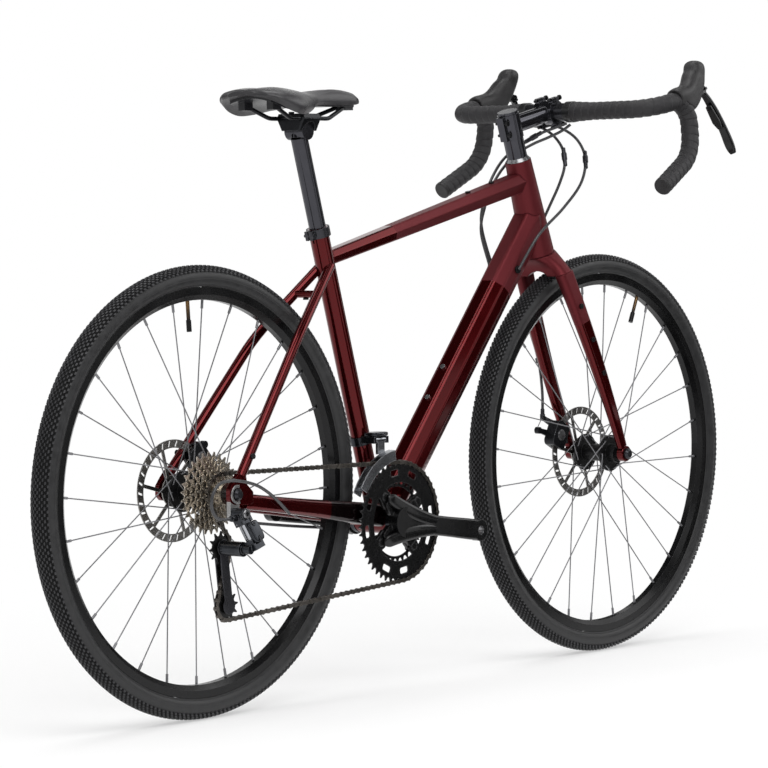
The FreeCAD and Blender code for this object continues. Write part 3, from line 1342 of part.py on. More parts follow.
def cushion_wire(x, half, top, depth, arch):
    """One section of the cushion: arched below, sides drawn in, crowned with a shallow channel."""
    low = top - depth
    channel = dim.saddle_channel * min(half / (dim.saddle_width / 4), 1)
    foot = Vector(x, 0.9 * half, low)
    side = Vector(x, half, low + 0.28 * depth)
    shoulder = Vector(x, 0.86 * half, low + 0.72 * depth)
    crest = Vector(x, 0.42 * half, top - 0.02 * depth)
    middle = Vector(x, 0, top - channel)

    def flip(point):
        return Vector(point.x, -point.y, point.z)

    edges = [Part.Arc(flip(foot), Vector(x, 0, low + arch), foot), Part.Arc(foot, side, shoulder),
             Part.Arc(shoulder, crest, middle), Part.Arc(middle, flip(crest), flip(shoulder)),
             Part.Arc(flip(shoulder), flip(side), flip(foot))]
    return Part.Wire([edge.toShape() for edge in edges])


def saddle_cover():
    feature("saddle_cover", Part.makeLoft([cushion_wire(*row) for row in saddle_rows()], True, False))


def saddle_base():
    """Shell under the cushion with the sockets that hold the rails."""
    gap = dim.running_gap
    thick = dim.saddle_shell
    wires = []
    for x, half, top, depth, arch in saddle_rows()[2:-2]:
        edge = 0.66 * half
        low = top - depth + arch * 0.45 + gap
        crown = top - depth + arch + gap
        ends = [Vector(x, -edge, low), Vector(x, edge, low), Vector(x, edge, low - thick),
                Vector(x, -edge, low - thick)]
        arcs = [Part.Arc(ends[0], Vector(x, 0, crown), ends[1]), Part.LineSegment(ends[1], ends[2]),
                Part.Arc(ends[2], Vector(x, 0, crown - thick), ends[3]), Part.LineSegment(ends[3], ends[0])]
        wires.append(Part.Wire([arc.toShape() for arc in arcs]))
    shell = Part.makeLoft(wires, True, False)
    path = rail_wire()
    rail = pipe(path, dim.rail_diameter / 2)
    sockets = []
    for point in (path.Edges[0].valueAt(path.Edges[0].FirstParameter),
                  path.Edges[-1].valueAt(path.Edges[-1].LastParameter)):
        size = dim.rail_socket
        block = Part.makeBox(size * 1.5, size, size * 1.4, point - Vector(size * 0.75, size / 2, size * 0.55))
        sockets += pair(block)
    made = shell.fuse(sockets)
    cushion = Part.makeLoft([cushion_wire(x, half + gap, top + gap, depth + gap * 2, arch)
                             for x, half, top, depth, arch in saddle_rows()], True, False)
    made = made.cut(cushion)
    for bar in pair(rail):
        made = made.cut(bar)
    feature("saddle_base", biggest(made.removeSplitter()))


# Wheels
def tyre(label, centre):
    """Tyre casing: a torus, hollow inside and open where the rim's flanges hold it."""
    middle = dim.bead_seat_diameter / 2 + dim.tyre_height - dim.tyre_width / 2
    place = across(centre)
    outer = torus(label + "_outer", middle, dim.tyre_width / 2, place)
    inner = torus(label + "_air", middle, dim.tyre_width / 2 - dim.tyre_casing, place)
    flange = dim.bead_seat_diameter / 2 + dim.rim_flange_height
    seat = cylinder(label + "_seat", flange, dim.rim_width, across(centre - LEFT * (dim.rim_width / 2)))
    keep(cut(label + "_casing", outer, inner, seat), label)


def rim(label, centre, valve_angle):
    """Box-section rim, with the valve that stands in it."""
    bead = dim.bead_seat_diameter / 2
    flange = bead + dim.rim_flange_height
    nose = bead - dim.rim_depth
    half, wall = dim.rim_width / 2, dim.rim_wall
    well = dim.rim_well_width / 2
    shoulder = bead - dim.rim_shoulder
    tip = dim.rim_nose_width / 2
    right = [(flange, half), (flange, half - wall), (bead, half - wall), (bead - dim.rim_well_depth, well)]
    skin = right + [(r, -z) for r, z in reversed(right)]
    skin += [(shoulder, -half), (nose, -tip), (nose, tip), (shoulder, half)]
    floor = bead - dim.rim_well_depth - wall
    room = [(shoulder + wall, half - wall), (floor, well), (floor, -well), (shoulder + wall, wall - half),
            (nose + wall, -tip + wall / 2), (nose + wall, tip - wall / 2)]
    body = turned(label + "_hoop", across(centre), skin, room)
    out = polar(1, -valve_angle)
    root = centre + out * nose
    stem_end = root - out * dim.valve_length
    place = frame_at(stem_end, out, LEFT)
    cap_place = frame_at(stem_end - out * dim.valve_cap_length, out, LEFT)
    valve = fuse(label + "_valve", cylinder(label + "_valve_stem", dim.valve_diameter / 2, dim.valve_length, place),
                 cylinder(label + "_valve_cap", dim.valve_cap_diameter / 2, dim.valve_cap_length, cap_place))
    keep(group(label + "_group", body, valve), label)


def hub(label, centre, right_end, left_end, right_flange, left_flange):
    """Hub shell with two drilled flanges, and a bearing in each end."""
    bore, neck, waist = dim.hub_bore / 2, dim.hub_neck / 2, dim.hub_waist / 2
    flange, half = dim.flange_diameter / 2, dim.flange_thickness / 2
    sleeve_radius = dim.axle_sleeve_diameter / 2 + dim.pin_gap
    depth = dim.hub_bearing_width
    profile = [(bore, -right_end), (neck, -right_end), (neck, -right_flange - half), (flange, -right_flange - half),
               (flange, -right_flange + half), (waist, -right_flange + half), (waist, left_flange - half),
               (flange, left_flange - half), (flange, left_flange + half), (neck, left_flange + half),
               (neck, left_end), (bore, left_end), (bore, left_end - depth),
               (sleeve_radius + dim.running_gap, left_end - depth),
               (sleeve_radius + dim.running_gap, -right_end + depth), (bore, -right_end + depth)]
    body = turned(label + "_shell", across(centre), profile)
    for name, flip in (("left", True), ("right", False)):
        sketch = sketch_on(body, "XY_Plane", "%s_%s_hole" % (label, name))
        circle(sketch, dim.spoke_hole / 2, dim.spoke_circle / 2)
        pocket = body.newObject("PartDesign::Pocket", "%s_%s_pocket" % (label, name))
        pocket.Profile = sketch
        pocket.Type = 1
        pocket.Reversed = flip
        doc.recompute()
        repeat(body, pocket, sketch, "%s_%s_holes" % (label, name), SPOKES // 2)
    bearings = [tube("%s_bearing_%d" % (label, index), bore, sleeve_radius, depth, across(centre + LEFT * start))
                for index, start in enumerate((-right_end, left_end - depth))]
    keep(group(label + "_group", body, *bearings), label)


def spokes(label, centre, right_flange, left_flange, valve_angle):
    """Spokes crossed three times, each with its bent head and its nipple."""
    holes = SPOKES // 2
    step = 360 / holes
    nose = dim.bead_seat_diameter / 2 - dim.rim_depth - dim.running_gap
    radius = dim.spoke_diameter / 2
    lift = dim.flange_thickness / 2 + radius + dim.seat_gap
    solids = []
    for side, flange in ((-1, right_flange), (1, left_flange)):
        # Rim holes of the two sides alternate; the valve stands midway between two holes.
        shift = -valve_angle + step / 4 * (1 if side > 0 else -1)
        shift = (shift + step / 2) % step - step / 2
        for hole in range(holes):
            leading = hole % 2
            twist = SPOKE_CROSSINGS * step * (1 if leading else -1)
            rim_angle = shift + hole * step + twist
            hub_angle = hole * step
            head = centre + polar(dim.spoke_circle / 2, hub_angle)
            outside = 1 if leading else -1
            clear = dim.spoke_lift if leading else 0
            start = head + LEFT * (side * (flange + outside * lift + clear))
            end = centre + polar(nose, rim_angle)
            run = end - start
            run.normalize()
            collar = rod(end - run * dim.nipple_length, end, dim.nipple_diameter / 2)
            elbow = rod(start, head + LEFT * (side * (flange - outside * lift)), radius)
            solids.append(rod(start, end, radius).fuse([collar, elbow]).removeSplitter())
    feature(label, *solids)


def rotor(label, centre, offset):
    """Slotted brake rotor on six slanted arms, with the lock nut that holds it."""
    outer = dim.rotor_diameter / 2
    inner = outer - dim.rotor_track
    core = dim.rotor_core / 2
    thick = dim.rotor_thickness
    body = doc.addObject("PartDesign::Body", label + "_disc")
    core_sketch = sketch_on(body, "XY_Plane", label + "_core")
    circle(core_sketch, core)
    circle(core_sketch, dim.hub_neck / 2)
    pad(body, core_sketch, label + "_core_pad", thick)
    arm = sketch_on(body, "XY_Plane", label + "_arm")
    half = dim.rotor_arm_width / 2
    root = core - dim.rotor_arm_width * 0.7
    lean = dim.rotor_track
    polygon(arm, [(root, -half), (inner + half, lean - half), (inner + half, lean + half), (root, half)])
    arm_pad = pad(body, arm, label + "_arm_pad", thick)
    repeat(body, arm_pad, arm, label + "_arms", ROTOR_ARMS)
    track = sketch_on(body, "XY_Plane", label + "_track")
    circle(track, outer)
    circle(track, inner)
    pad(body, track, label + "_track_pad", thick)
    slot = sketch_on(body, "XY_Plane", label + "_slot")
    middle = outer - dim.rotor_track / 2
    reach, width = dim.rotor_slot_length / 2, dim.rotor_slot_width / 2
    polygon(slot, [(middle - reach, -width * 2), (middle + reach, 0), (middle + reach, width * 2),
                   (middle - reach, Size(0, "0"))])
    hole = body.newObject("PartDesign::Pocket", label + "_slot_cut")
    hole.Profile = slot
    hole.Type = 1
    hole.Midplane = True
    doc.recompute()
    repeat(body, hole, slot, label + "_slots", ROTOR_SLOTS)
    body.Placement = across(centre + LEFT * offset)
    nut = tube(label + "_nut", dim.lock_nut_diameter / 2, dim.hub_neck / 2, dim.lock_nut_thickness,
               across(centre + LEFT * (offset + thick / 2)))
    keep(group(label + "_group", body, nut), label)


def wheels():
    front = (FRONT_AXLE, dim.front_flange_offset, dim.front_flange_offset)
    rear = (REAR_AXLE, dim.rear_right_flange, dim.rear_left_flange)
    hub("front_hub", FRONT_AXLE, dim.front_hub_end, dim.front_hub_end, *front[1:])
    hub("rear_hub", REAR_AXLE, dim.rear_hub_right_end, dim.rear_hub_left_end, *rear[1:])
    for name, ends, valve, offset in (("front", front, FRONT_VALVE_ANGLE, dim.front_rotor_offset),
                                      ("rear", rear, REAR_VALVE_ANGLE, dim.rear_rotor_offset)):
        tyre(name + "_tyre", ends[0])
        rim(name + "_rim", ends[0], valve)
        spokes(name + "_spokes", *ends, valve)
        rotor(name + "_rotor", ends[0], offset)


# Brakes
def caliper_frame(centre, offset, angle):
    """Placement at a caliper's middle: X points away from the axle and Z to the left."""
    out = polar(1, angle)
    return frame_at(centre + out * dim.caliper_reach + LEFT * offset, LEFT, out)


def caliper(label, centre, offset, angle, mount, trims):
    """Two-sided caliper over the rotor's edge, with pads, adjuster and the mount that carries it."""
    place = caliper_frame(centre, offset, angle)
    high, long = dim.caliper_height, dim.caliper_length
    wire = rectangle(place, high, long, dim.caliper_corner)
    inner = wire.copy()
    inner.translate(LEFT * -dim.caliper_inner)
    body = Part.Face(inner).extrude(LEFT * (dim.caliper_inner + dim.caliper_outer))
    slot_half = dim.rotor_thickness / 2 + dim.pad_gap + dim.pad_thickness
    slot = rod(centre + LEFT * (offset - slot_half), centre + LEFT * (offset + slot_half),
               dim.rotor_diameter / 2 + dim.pad_thickness)
    hinge = place.Base + LEFT * dim.caliper_outer
    hinge_room = rod(hinge, hinge + LEFT * dim.caliper_length, dim.brake_arm_width)
    body = body.fuse(mount).cut(slot).cut(hinge_room)
    for trim in trims:
        body = body.cut(trim)
    pads = []
    for sign in (-1, 1):
        near = offset + sign * (dim.rotor_thickness / 2 + dim.pad_gap)
        far = near + sign * dim.pad_thickness
        shoe = rectangle(frame_at(Vector(place.Base.x, near, place.Base.z), LEFT, place.Rotation.multVec(FORWARD)),
                         high * 0.5, long * 0.5, dim.caliper_corner / 2)
        block = Part.Face(shoe).extrude(LEFT * (far - near))
        pads.append(block.common(rod(centre - LEFT * abs(far) * 2, centre + LEFT * abs(far) * 2,
                                     dim.rotor_diameter / 2)))
    knob_start = place.Base - LEFT * dim.caliper_inner
    knob = rod(knob_start, knob_start - LEFT * dim.adjuster_height, dim.adjuster_diameter / 2)
    feature(label, biggest(body.removeSplitter()), knob, *pads)


def brake_arm(label, centre, offset, angle, swing):
    """Actuating arm on the caliper's outer side, with its hinge stub."""
    place = caliper_frame(centre, offset, angle)
    start = place.Base + LEFT * (dim.caliper_outer + dim.running_gap)
    run = polar(1, swing)
    tip = start + run * dim.brake_arm_length
    thick = LEFT * dim.brake_arm_thickness
    half = dim.brake_arm_width / 2
    side = run.cross(LEFT) * half
    narrow = side * 0.7
    corners = [start - side, tip - narrow, tip + narrow, start + side]
    face = Part.Face(Part.makePolygon(corners + corners[:1]))
    arm = face.extrude(thick)
    boss = rod(start, start + thick * 1.6, half * 1.2)
    clamp = rod(tip, tip + thick * 2, half)
    feature(label, biggest(arm.fuse([boss, clamp]).removeSplitter()))


def mount_block(start, end, width, trims):
    """Bracket between a caliper and the tube that carries it."""
    run = end - start
    length = run.Length
    run.normalize()
    place = frame_at(start, run, LEFT)
    block = Part.makeBox(dim.mount_thickness, width, length)
    block.Placement = Placement(place.multVec(Vector(-dim.mount_thickness / 2, -width / 2, 0)), place.Rotation)
    for trim in trims:
        block = block.cut(trim)
    return biggest(block)


def brakes():
    """Both calipers, their mounts and arms."""
    place = caliper_frame(FRONT_AXLE, dim.front_rotor_offset, dim.front_caliper_angle)
    blade = mirrored(fork_blade())
    level = dim.front_rotor_offset + dim.caliper_outer - dim.mount_thickness / 2
    start = Vector(place.Base.x, level, place.Base.z)
    stations = blade_stations()
    share = (stations[1][0].z - start.z) / (stations[1][0].z - stations[2][0].z)
    seat = stations[1][0] + (stations[2][0] - stations[1][0]) * share
    mount = mount_block(start, Vector(seat.x, -seat.y, start.z), dim.caliper_length * 0.8, [blade])
    caliper("front_caliper", FRONT_AXLE, dim.front_rotor_offset, dim.front_caliper_angle, mount, [blade])
    brake_arm("front_brake_arm", FRONT_AXLE, dim.front_rotor_offset, dim.front_caliper_angle, 165)
    place = caliper_frame(REAR_AXLE, dim.rear_rotor_offset, dim.rear_caliper_angle)
    stay = mirrored(chainstay())
    stations = chainstay_stations()
    level = dim.rear_rotor_offset + dim.caliper_outer - dim.mount_thickness / 2
    start = Vector(place.Base.x, level, place.Base.z)
    seat = stations[1][0]
    mount = mount_block(start, Vector(seat.x, -seat.y, seat.z), dim.caliper_length * 0.7, [stay])
    stays = [stay, mirrored(seatstay())]
    caliper("rear_caliper", REAR_AXLE, dim.rear_rotor_offset, dim.rear_caliper_angle, mount, stays)
    brake_arm("rear_brake_arm", REAR_AXLE, dim.rear_rotor_offset, dim.rear_caliper_angle, 30)


# Chain loop
def pitch_radius(teeth):
    return dim.chain_pitch / (2 * math.sin(math.pi / teeth))


def guide_centre():
    return REAR_AXLE - Vector(dim.guide_back, 0, dim.guide_drop)


def tension_centre(lean):
    """Lower pulley's centre for a lean of the cage in degrees, forwards of straight down."""
    turn = math.radians(lean)
    return guide_centre() + Vector(math.sin(turn), 0, -math.cos(turn)) * dim.cage_length


def chain_wheels(lean):
    """The wheels that the chain goes round, in order: centre, teeth, and 1 where it turns clockwise."""
    return [(REAR_AXLE, REAR_COGS[COG_IN_USE], 1), (BRACKET, RING_TEETH[0], 1),
            (tension_centre(lean), PULLEY_TEETH, 1), (guide_centre(), PULLEY_TEETH, -1)]


def chain_spans(lean):
    """Straight spans between the wheels: start point, direction and length, seen from the right."""
    wheels_in_order = chain_wheels(lean)
    spans = []
    for (c1, t1, s1), (c2, t2, s2) in zip(wheels_in_order, wheels_in_order[1:] + wheels_in_order[:1]):
        gap = c2 - c1
        r1, r2 = pitch_radius(t1) * s1, pitch_radius(t2) * s2
        heading = math.atan2(gap.z, gap.x) + math.asin((r2 - r1) / gap.Length)
        run = Vector(math.cos(heading), 0, math.sin(heading))
        normal = Vector(-run.z, 0, run.x)
        start = c1 + normal * r1
        end = c2 + normal * r2
        spans.append((start, run, (end - start).Length))
    return spans


def chain_pieces(lean):
    """Arcs and spans of the loop in order, each with its length in chain pitches times the pitch."""
    wheels_in_order = chain_wheels(lean)
    spans = chain_spans(lean)
    pieces = []
    for index, (centre, teeth, sense) in enumerate(wheels_in_order):
        start, run, length = spans[index]
        before, before_run, before_length = spans[index - 1]
        arrive = before + before_run * before_length - centre
        leave = start - centre
        turn = (math.atan2(arrive.z, arrive.x) - math.atan2(leave.z, leave.x)) * sense % (2 * math.pi)
        share = turn / (2 * math.pi)
        pieces.append(("arc", share * teeth * dim.chain_pitch, centre, arrive, teeth, sense))
        pieces.append(("span", length, start, run))
    return pieces


def loop_length(lean):
    return sum(piece[1] for piece in chain_pieces(lean))


def cage_lean():
    """Lean of the cage that fits a whole, even number of links."""
    hang = 3
    links = 2 * round(loop_length(hang) / dim.chain_pitch / 2)
    low, high = hang - 25, hang + 25
    for _ in range(60):
        middle = (low + high) / 2
        if loop_length(middle) > links * dim.chain_pitch:
            low = middle
        else:
            high = middle
    return (low + high) / 2, links


CAGE_LEAN, LINKS = cage_lean()


def chain_rollers():
    """Roller centres along the loop, and one roller's angle on each wheel."""
    pieces = chain_pieces(CAGE_LEAN)
    centres = []
    phases = []
    begin = 0.0
    index = 0
    for piece in pieces:
        end = begin + piece[1]
        seen = False
        while index < LINKS and index * dim.chain_pitch < end:
            offset = index * dim.chain_pitch - begin
            if piece[0] == "span":
                centres.append(piece[2] + piece[3] * offset)
            else:
                _, _, centre, arrive, teeth, sense = piece
                angle = math.atan2(arrive.z, arrive.x) - sense * offset / dim.chain_pitch * 2 * math.pi / teeth
                centres.append(centre + polar(pitch_radius(teeth), math.degrees(angle)))
                if not seen:
                    phases.append(angle)
                    seen = True
            index += 1
        begin = end
    return centres, phases


ROLLERS, PHASES = chain_rollers()


def toothed(centre, teeth, phase, near, far, bore):
    """Toothed plate between two distances to the left, with a roller seat at the phase angle."""
    radius = pitch_radius(teeth)
    seat = dim.roller_diameter / 2 + dim.roller_seat_gap
    tip = radius + dim.tooth_height
    wrap = math.radians(58)
    step = 2 * math.pi / teeth
    tip_turn = dim.tooth_tip / 2 / tip
    level = LEFT * near
    corners = []
    for index in range(teeth):
        angle = phase + index * step
        roller = centre + level + polar(radius, math.degrees(angle))
        points = [roller + polar(seat, math.degrees(angle + math.pi + turn)) for turn in (wrap, 0, -wrap)]
        tips = [centre + level + polar(tip, math.degrees(angle + step / 2 + turn)) for turn in (-tip_turn, tip_turn)]
        corners.append((points, tips))
    edges = []
    for index, (points, tips) in enumerate(corners):
        following = corners[(index + 1) % teeth][0][0]
        edges.append(Part.Arc(*points).toShape())
        edges.append(Part.LineSegment(points[2], tips[0]).toShape())
        edges.append(Part.LineSegment(tips[0], tips[1]).toShape())
        edges.append(Part.LineSegment(tips[1], following).toShape())
    made = Part.Face(Part.Wire(edges)).extrude(LEFT * (far - near))
    return made.cut(rod(centre + level, centre + LEFT * far, bore))


def link_plate(half_pitch, inner, outer):
    """Two waisted plates of one link, side by side."""
    radius = dim.link_waist / 2
    solids = []
    for sign in (-1, 1):
        level = LEFT * (sign * inner)
        rise = LEFT * (sign * (outer - inner))
        ends = [rod(FORWARD * (step * half_pitch) + level, FORWARD * (step * half_pitch) + level + rise, radius)
                for step in (-1, 1)]
        bar = Part.makeBox(2 * half_pitch, outer - inner, radius * 1.4,
                           Vector(-half_pitch, min(sign * inner, sign * outer), -radius * 0.7))
        solids.append(ends[0].fuse([ends[1], bar]).removeSplitter())
    return solids


def chain():
    """Roller chain: inner links with their rollers, outer links with their pins."""
    half = dim.chain_pitch / 2
    inner, plate_gap, thick = dim.link_inner_half, dim.link_plate_gap, dim.link_plate
    bore = dim.chain_pin_diameter / 2 + dim.pin_gap
    inside = link_plate(half, inner, inner + thick)
    outer_start = inner + thick + plate_gap
    outside = link_plate(half, outer_start, outer_start + thick)
    reach = LEFT * (outer_start + thick + plate_gap)
    rollers, holes, pins = [], [], []
    for step in (-1, 1):
        at = FORWARD * (step * half)
        level = LEFT * (inner + thick / 2)
        rollers.append(rod(at - level, at + level, dim.roller_diameter / 2))
        holes.append(rod(at - reach * 2, at + reach * 2, bore))
        pins.append(rod(at - reach, at + reach, dim.chain_pin_diameter / 2))
    inner_link = inside[0].fuse([inside[1]] + rollers).cut(holes).removeSplitter()
    outer_link = outside[0].fuse([outside[1]] + pins).removeSplitter()
    solids = []
    for index, start in enumerate(ROLLERS):
        end = ROLLERS[(index + 1) % LINKS]
        run = end - start
        link = (outer_link if index % 2 else inner_link).copy()
        turn = Rotation(LEFT, -math.degrees(math.atan2(run.z, run.x)))
        link.Placement = Placement((start + end) / 2 - LEFT * dim.chain_line, turn)
        solids.append(biggest(link))
    feature("chain", *solids)


def cassette():
    """Sprockets with their spacer hubs, the freehub body and the lockring."""
    bore = dim.freehub_diameter / 2
    half = dim.tooth_thickness / 2
    solids = []
    for index, teeth in enumerate(REAR_COGS):
        level = -dim.chain_line + (index - COG_IN_USE) * dim.sprocket_pitch
        cog = toothed(REAR_AXLE, teeth, PHASES[0], level - half, level + half, bore)
        if index + 1 < len(REAR_COGS):
            near = REAR_AXLE + LEFT * (level + half)
            far = REAR_AXLE + LEFT * (level + dim.sprocket_pitch - half)
            cog = cog.fuse(sleeve(near, far, dim.sprocket_hub_diameter / 2, bore)).removeSplitter()
        if pitch_radius(teeth) > dim.sprocket_hub_diameter:
            cog = lightened(cog, teeth, level)
        solids.append(biggest(cog))
    outer_face = -dim.chain_line - COG_IN_USE * dim.sprocket_pitch - half
    start = REAR_AXLE + LEFT * outer_face
    end = REAR_AXLE - LEFT * (dim.rear_hub_right_end + dim.running_gap)
    body = sleeve(start, end, bore, dim.axle_sleeve_diameter / 2 + dim.pin_gap)
    ring = sleeve(start, start - LEFT * dim.lockring_thickness, dim.freehub_diameter / 2,
                  dim.axle_sleeve_diameter / 2 + dim.pin_gap)
    feature("cassette", *solids, body, ring)


def lightened(cog, teeth, level):
    """A large sprocket with windows between its hub and its teeth."""
    windows = 5
    middle = (pitch_radius(teeth) - dim.tooth_height + dim.sprocket_hub_diameter / 2) / 2
    radius = (pitch_radius(teeth) - dim.sprocket_hub_diameter / 2) / 2 - dim.tooth_height * 1.6
    for index in range(windows):
        at = REAR_AXLE + polar(middle, 360 / windows * index) + LEFT * level
        reach = LEFT * dim.tooth_thickness
        cog = cog.cut(rod(at - reach, at + reach, radius))
    return cog


# Chainset
CRANK_TURN = -dim.crank_angle


def crank_arm(sign):
    """One crank arm: hub, tapering arm and drilled pedal eye. The right arm points forwards."""
    out = polar(1, CRANK_TURN) * (-sign)
    inner, outer = sign * dim.crank_hub_inner, sign * dim.crank_hub_outer
    hub_part = rod(BRACKET + LEFT * inner, BRACKET + LEFT * outer, dim.crank_hub_diameter / 2)
    eye = BRACKET + out * dim.crank_length
    tip_inner, tip_outer = sign * dim.crank_tip_inner, sign * dim.crank_tip_outer
    tip_part = rod(eye + LEFT * tip_inner, eye + LEFT * tip_outer, dim.crank_tip_diameter / 2)
    middle_hub = (dim.crank_hub_inner + dim.crank_hub_outer) / 2 + dim.running_gap
    middle_tip = (dim.crank_tip_inner + dim.crank_tip_outer) / 2
    rows = ((0, dim.crank_root_width, middle_hub), (0.34, dim.crank_waist_width, (middle_hub + middle_tip) / 2),
            (0.72, dim.crank_waist_width, middle_tip), (1, dim.crank_waist_width, middle_tip))
    side = out.cross(LEFT)
    wires = []
    for share, width, level in rows:
        place = frame_at(BRACKET + out * (dim.crank_length * share) + LEFT * (sign * level), out, side)
        wires.append(rectangle(place, width, dim.crank_thickness, dim.crank_thickness * 0.3))
    arm = Part.makeLoft(wires, True, False)
    made = hub_part.fuse([arm, tip_part])
    reach = LEFT * dim.crank_tip_outer * 2
    return made.cut(rod(eye - reach, eye + reach, dim.pedal_hole / 2))


def ring_levels():
    """Near and far faces of the large ring and the small ring, and of the tabs between them."""
    half = dim.ring_thickness / 2
    large = -dim.chain_line
    small = large + dim.ring_spacing
    return (large - half, large + half), (small - half, small + half), (large + half, small - half)


def spider_plate(inner, outer, near, far, width):
    """Four spokes of the spider between two radii."""
    solids = []
    for angle in SPIDER_ANGLES:
        out = polar(1, angle + CRANK_TURN)
        side = out.cross(LEFT) * (width / 2)
        corners = [BRACKET + out * inner - side, BRACKET + out * outer - side * 0.8,
                   BRACKET + out * outer + side * 0.8, BRACKET + out * inner + side]
        solids.append(plate(corners, near, far, width / 6))
    return solids


def ring_bolts():
    """Centres of the four chainring bolts."""
    return [BRACKET + polar(dim.ring_bolt_circle / 2, angle + CRANK_TURN) for angle in SPIDER_ANGLES]


def bolt_holes(shape):
    reach = LEFT * dim.crank_hub_outer
    for point in ring_bolts():
        shape = shape.cut(rod(point - reach, point + reach, dim.ring_bolt_diameter / 2 + dim.seat_gap))
    return shape


def crank_arms():
    """Right arm with its spider and spindle, and the left arm that clamps on the spindle."""
    large, small, tab = ring_levels()
    bolt_radius = dim.ring_bolt_circle / 2
    reach = bolt_radius + dim.ring_bolt_head / 2
    inner = dim.crank_hub_diameter / 2 - dim.running_gap * 4
    shoulder = bolt_radius - dim.ring_bolt_head / 2 - dim.running_gap
    arms = spider_plate(inner, shoulder, -dim.crank_hub_inner - dim.ring_spacing, tab[1] - dim.ring_thickness,
                        dim.spider_arm_width)
    tabs = spider_plate((inner + shoulder) / 2, reach, tab[0], tab[1], dim.spider_arm_width)
    spindle = rod(BRACKET - LEFT * dim.crank_hub_inner, BRACKET + LEFT * dim.spindle_end, dim.spindle_diameter / 2)
    cups = rod(BRACKET - LEFT * dim.crank_hub_inner, BRACKET, dim.crank_hub_diameter / 2 - dim.running_gap)
    right = bolt_holes(crank_arm(-1).fuse(arms + tabs)).cut(cups).fuse(spindle).removeSplitter()
    left = crank_arm(1).cut(rod(BRACKET, BRACKET + LEFT * dim.spindle_end, dim.spindle_diameter / 2))
    feature("crank_arms", biggest(right), biggest(left.removeSplitter()))


def ring_slots(radius, faces):
    """Two slots through the large ring between each pair of bolts."""
    slot_share = 0.83
    half_run, half_rise = dim.ring_slot_length / 2, dim.ring_slot_width / 2
    spread_degrees = 16
    solids = []
    for angle in (0, 90, 180, 270):
        for sign in (-1, 1):
            out = polar(1, angle + sign * spread_degrees + CRANK_TURN)
            side = out.cross(LEFT)
            middle = BRACKET + out * (radius * slot_share)
            corners = [middle + out * (x * half_rise) + side * (y * half_run)
                       for x, y in ((-1, -1), (1, -1), (1, 1), (-1, 1))]
            solids.append(plate(corners, faces[0] - dim.ring_thickness, faces[1] + dim.ring_thickness,
                                dim.ring_slot_width / 3))
    return solids


def chainring(teeth, phase, faces, depth, slots):
    """One toothed ring with four bolt tabs."""
    radius = pitch_radius(teeth)
    ring = toothed(BRACKET, teeth, phase, faces[0], faces[1], radius - depth)
    bolt_radius = dim.ring_bolt_circle / 2
    inner = bolt_radius - dim.ring_bolt_head / 2
    tabs = spider_plate(inner, radius - depth + dim.tooth_height, faces[0], faces[1], dim.spider_arm_width)
    made = bolt_holes(ring.fuse(tabs))
    for slot in slots:
        made = made.cut(slot)
    return biggest(made.removeSplitter())


def chainrings():
    large, small, tab = ring_levels()
    slots = ring_slots(pitch_radius(RING_TEETH[0]), large)
    rings = [chainring(RING_TEETH[0], PHASES[1], large, dim.ring_rim_depth, slots),
             chainring(RING_TEETH[1], PHASES[1], small, dim.small_ring_depth, [])]
    screws = []
    for point in ring_bolts():
        near, far = point + LEFT * large[0], point + LEFT * small[1]
        height = LEFT * dim.ring_bolt_head_height
        shank = rod(near, far, dim.ring_bolt_diameter / 2)
        heads = [rod(near, near - height, dim.ring_bolt_head / 2), rod(far, far + height, dim.ring_bolt_head / 2)]
        screws.append(shank.fuse(heads).removeSplitter())
    feature("chainrings", *rings, *screws)


# Front derailleur
def changer_pivot():
    """Middle of the front derailleur's hinge, which runs fore and aft."""
    centre = BRACKET + SEAT_DIR * (dim.changer_height + dim.changer_band_height / 2)
    return centre + Vector(dim.changer_pivot_lead, -dim.changer_pivot_out, 0)


def front_changer_clamp():
    """Band clamp on the seat tube with the arm and pin that carry the cage."""
    low = BRACKET + SEAT_DIR * dim.changer_height
    high = low + SEAT_DIR * dim.changer_band_height
    radius = dim.seat_tube_diameter / 2
    band = sleeve(low, high, radius + dim.changer_band, radius)
    pivot = changer_pivot()
    half = dim.changer_barrel_length / 2
    thick = dim.changer_barrel / 2
    lugs = []
    for sign in (-1, 1):
        near = pivot + FORWARD * (sign * (half + dim.running_gap))
        far = near + FORWARD * (sign * thick)
        x0, x1 = sorted((near.x, far.x))
        lugs.append(Part.makeBox(x1 - x0, dim.changer_pivot_out - radius + thick, dim.changer_barrel,
                                 Vector(x0, pivot.y - thick, pivot.z - thick)))
    spine_end = pivot.x + half + dim.running_gap + thick
    spine_start = pivot.x - half - dim.running_gap - thick
    spine = Part.makeBox(spine_end - spine_start, thick, dim.changer_barrel,
                         Vector(spine_start, -radius - dim.changer_band, pivot.z - thick))
    reach = FORWARD * (half + dim.running_gap + thick / 2)
    hinge = rod(pivot - reach, pivot + reach, dim.changer_pin / 2)
    made = band.fuse(lugs + [spine, hinge]).cut(seat_envelope()).removeSplitter()
    feature("front_derailleur_clamp", biggest(made))


def arc_plate(inner, outer, start, end, near, far):
    """Plate in the shape of a ring sector round the bottom bracket."""
    edges = [Part.Arc(BRACKET + polar(inner, start), BRACKET + polar(inner, (start + end) / 2),
                      BRACKET + polar(inner, end)).toShape(),
             Part.LineSegment(BRACKET + polar(inner, end), BRACKET + polar(outer, end)).toShape(),
             Part.Arc(BRACKET + polar(outer, end), BRACKET + polar(outer, (start + end) / 2),
                      BRACKET + polar(outer, start)).toShape(),
             Part.LineSegment(BRACKET + polar(outer, start), BRACKET + polar(inner, start)).toShape()]
    made = Part.Face(Part.Wire(edges)).extrude(LEFT * (far - near))
    made.translate(LEFT * near)
    return made


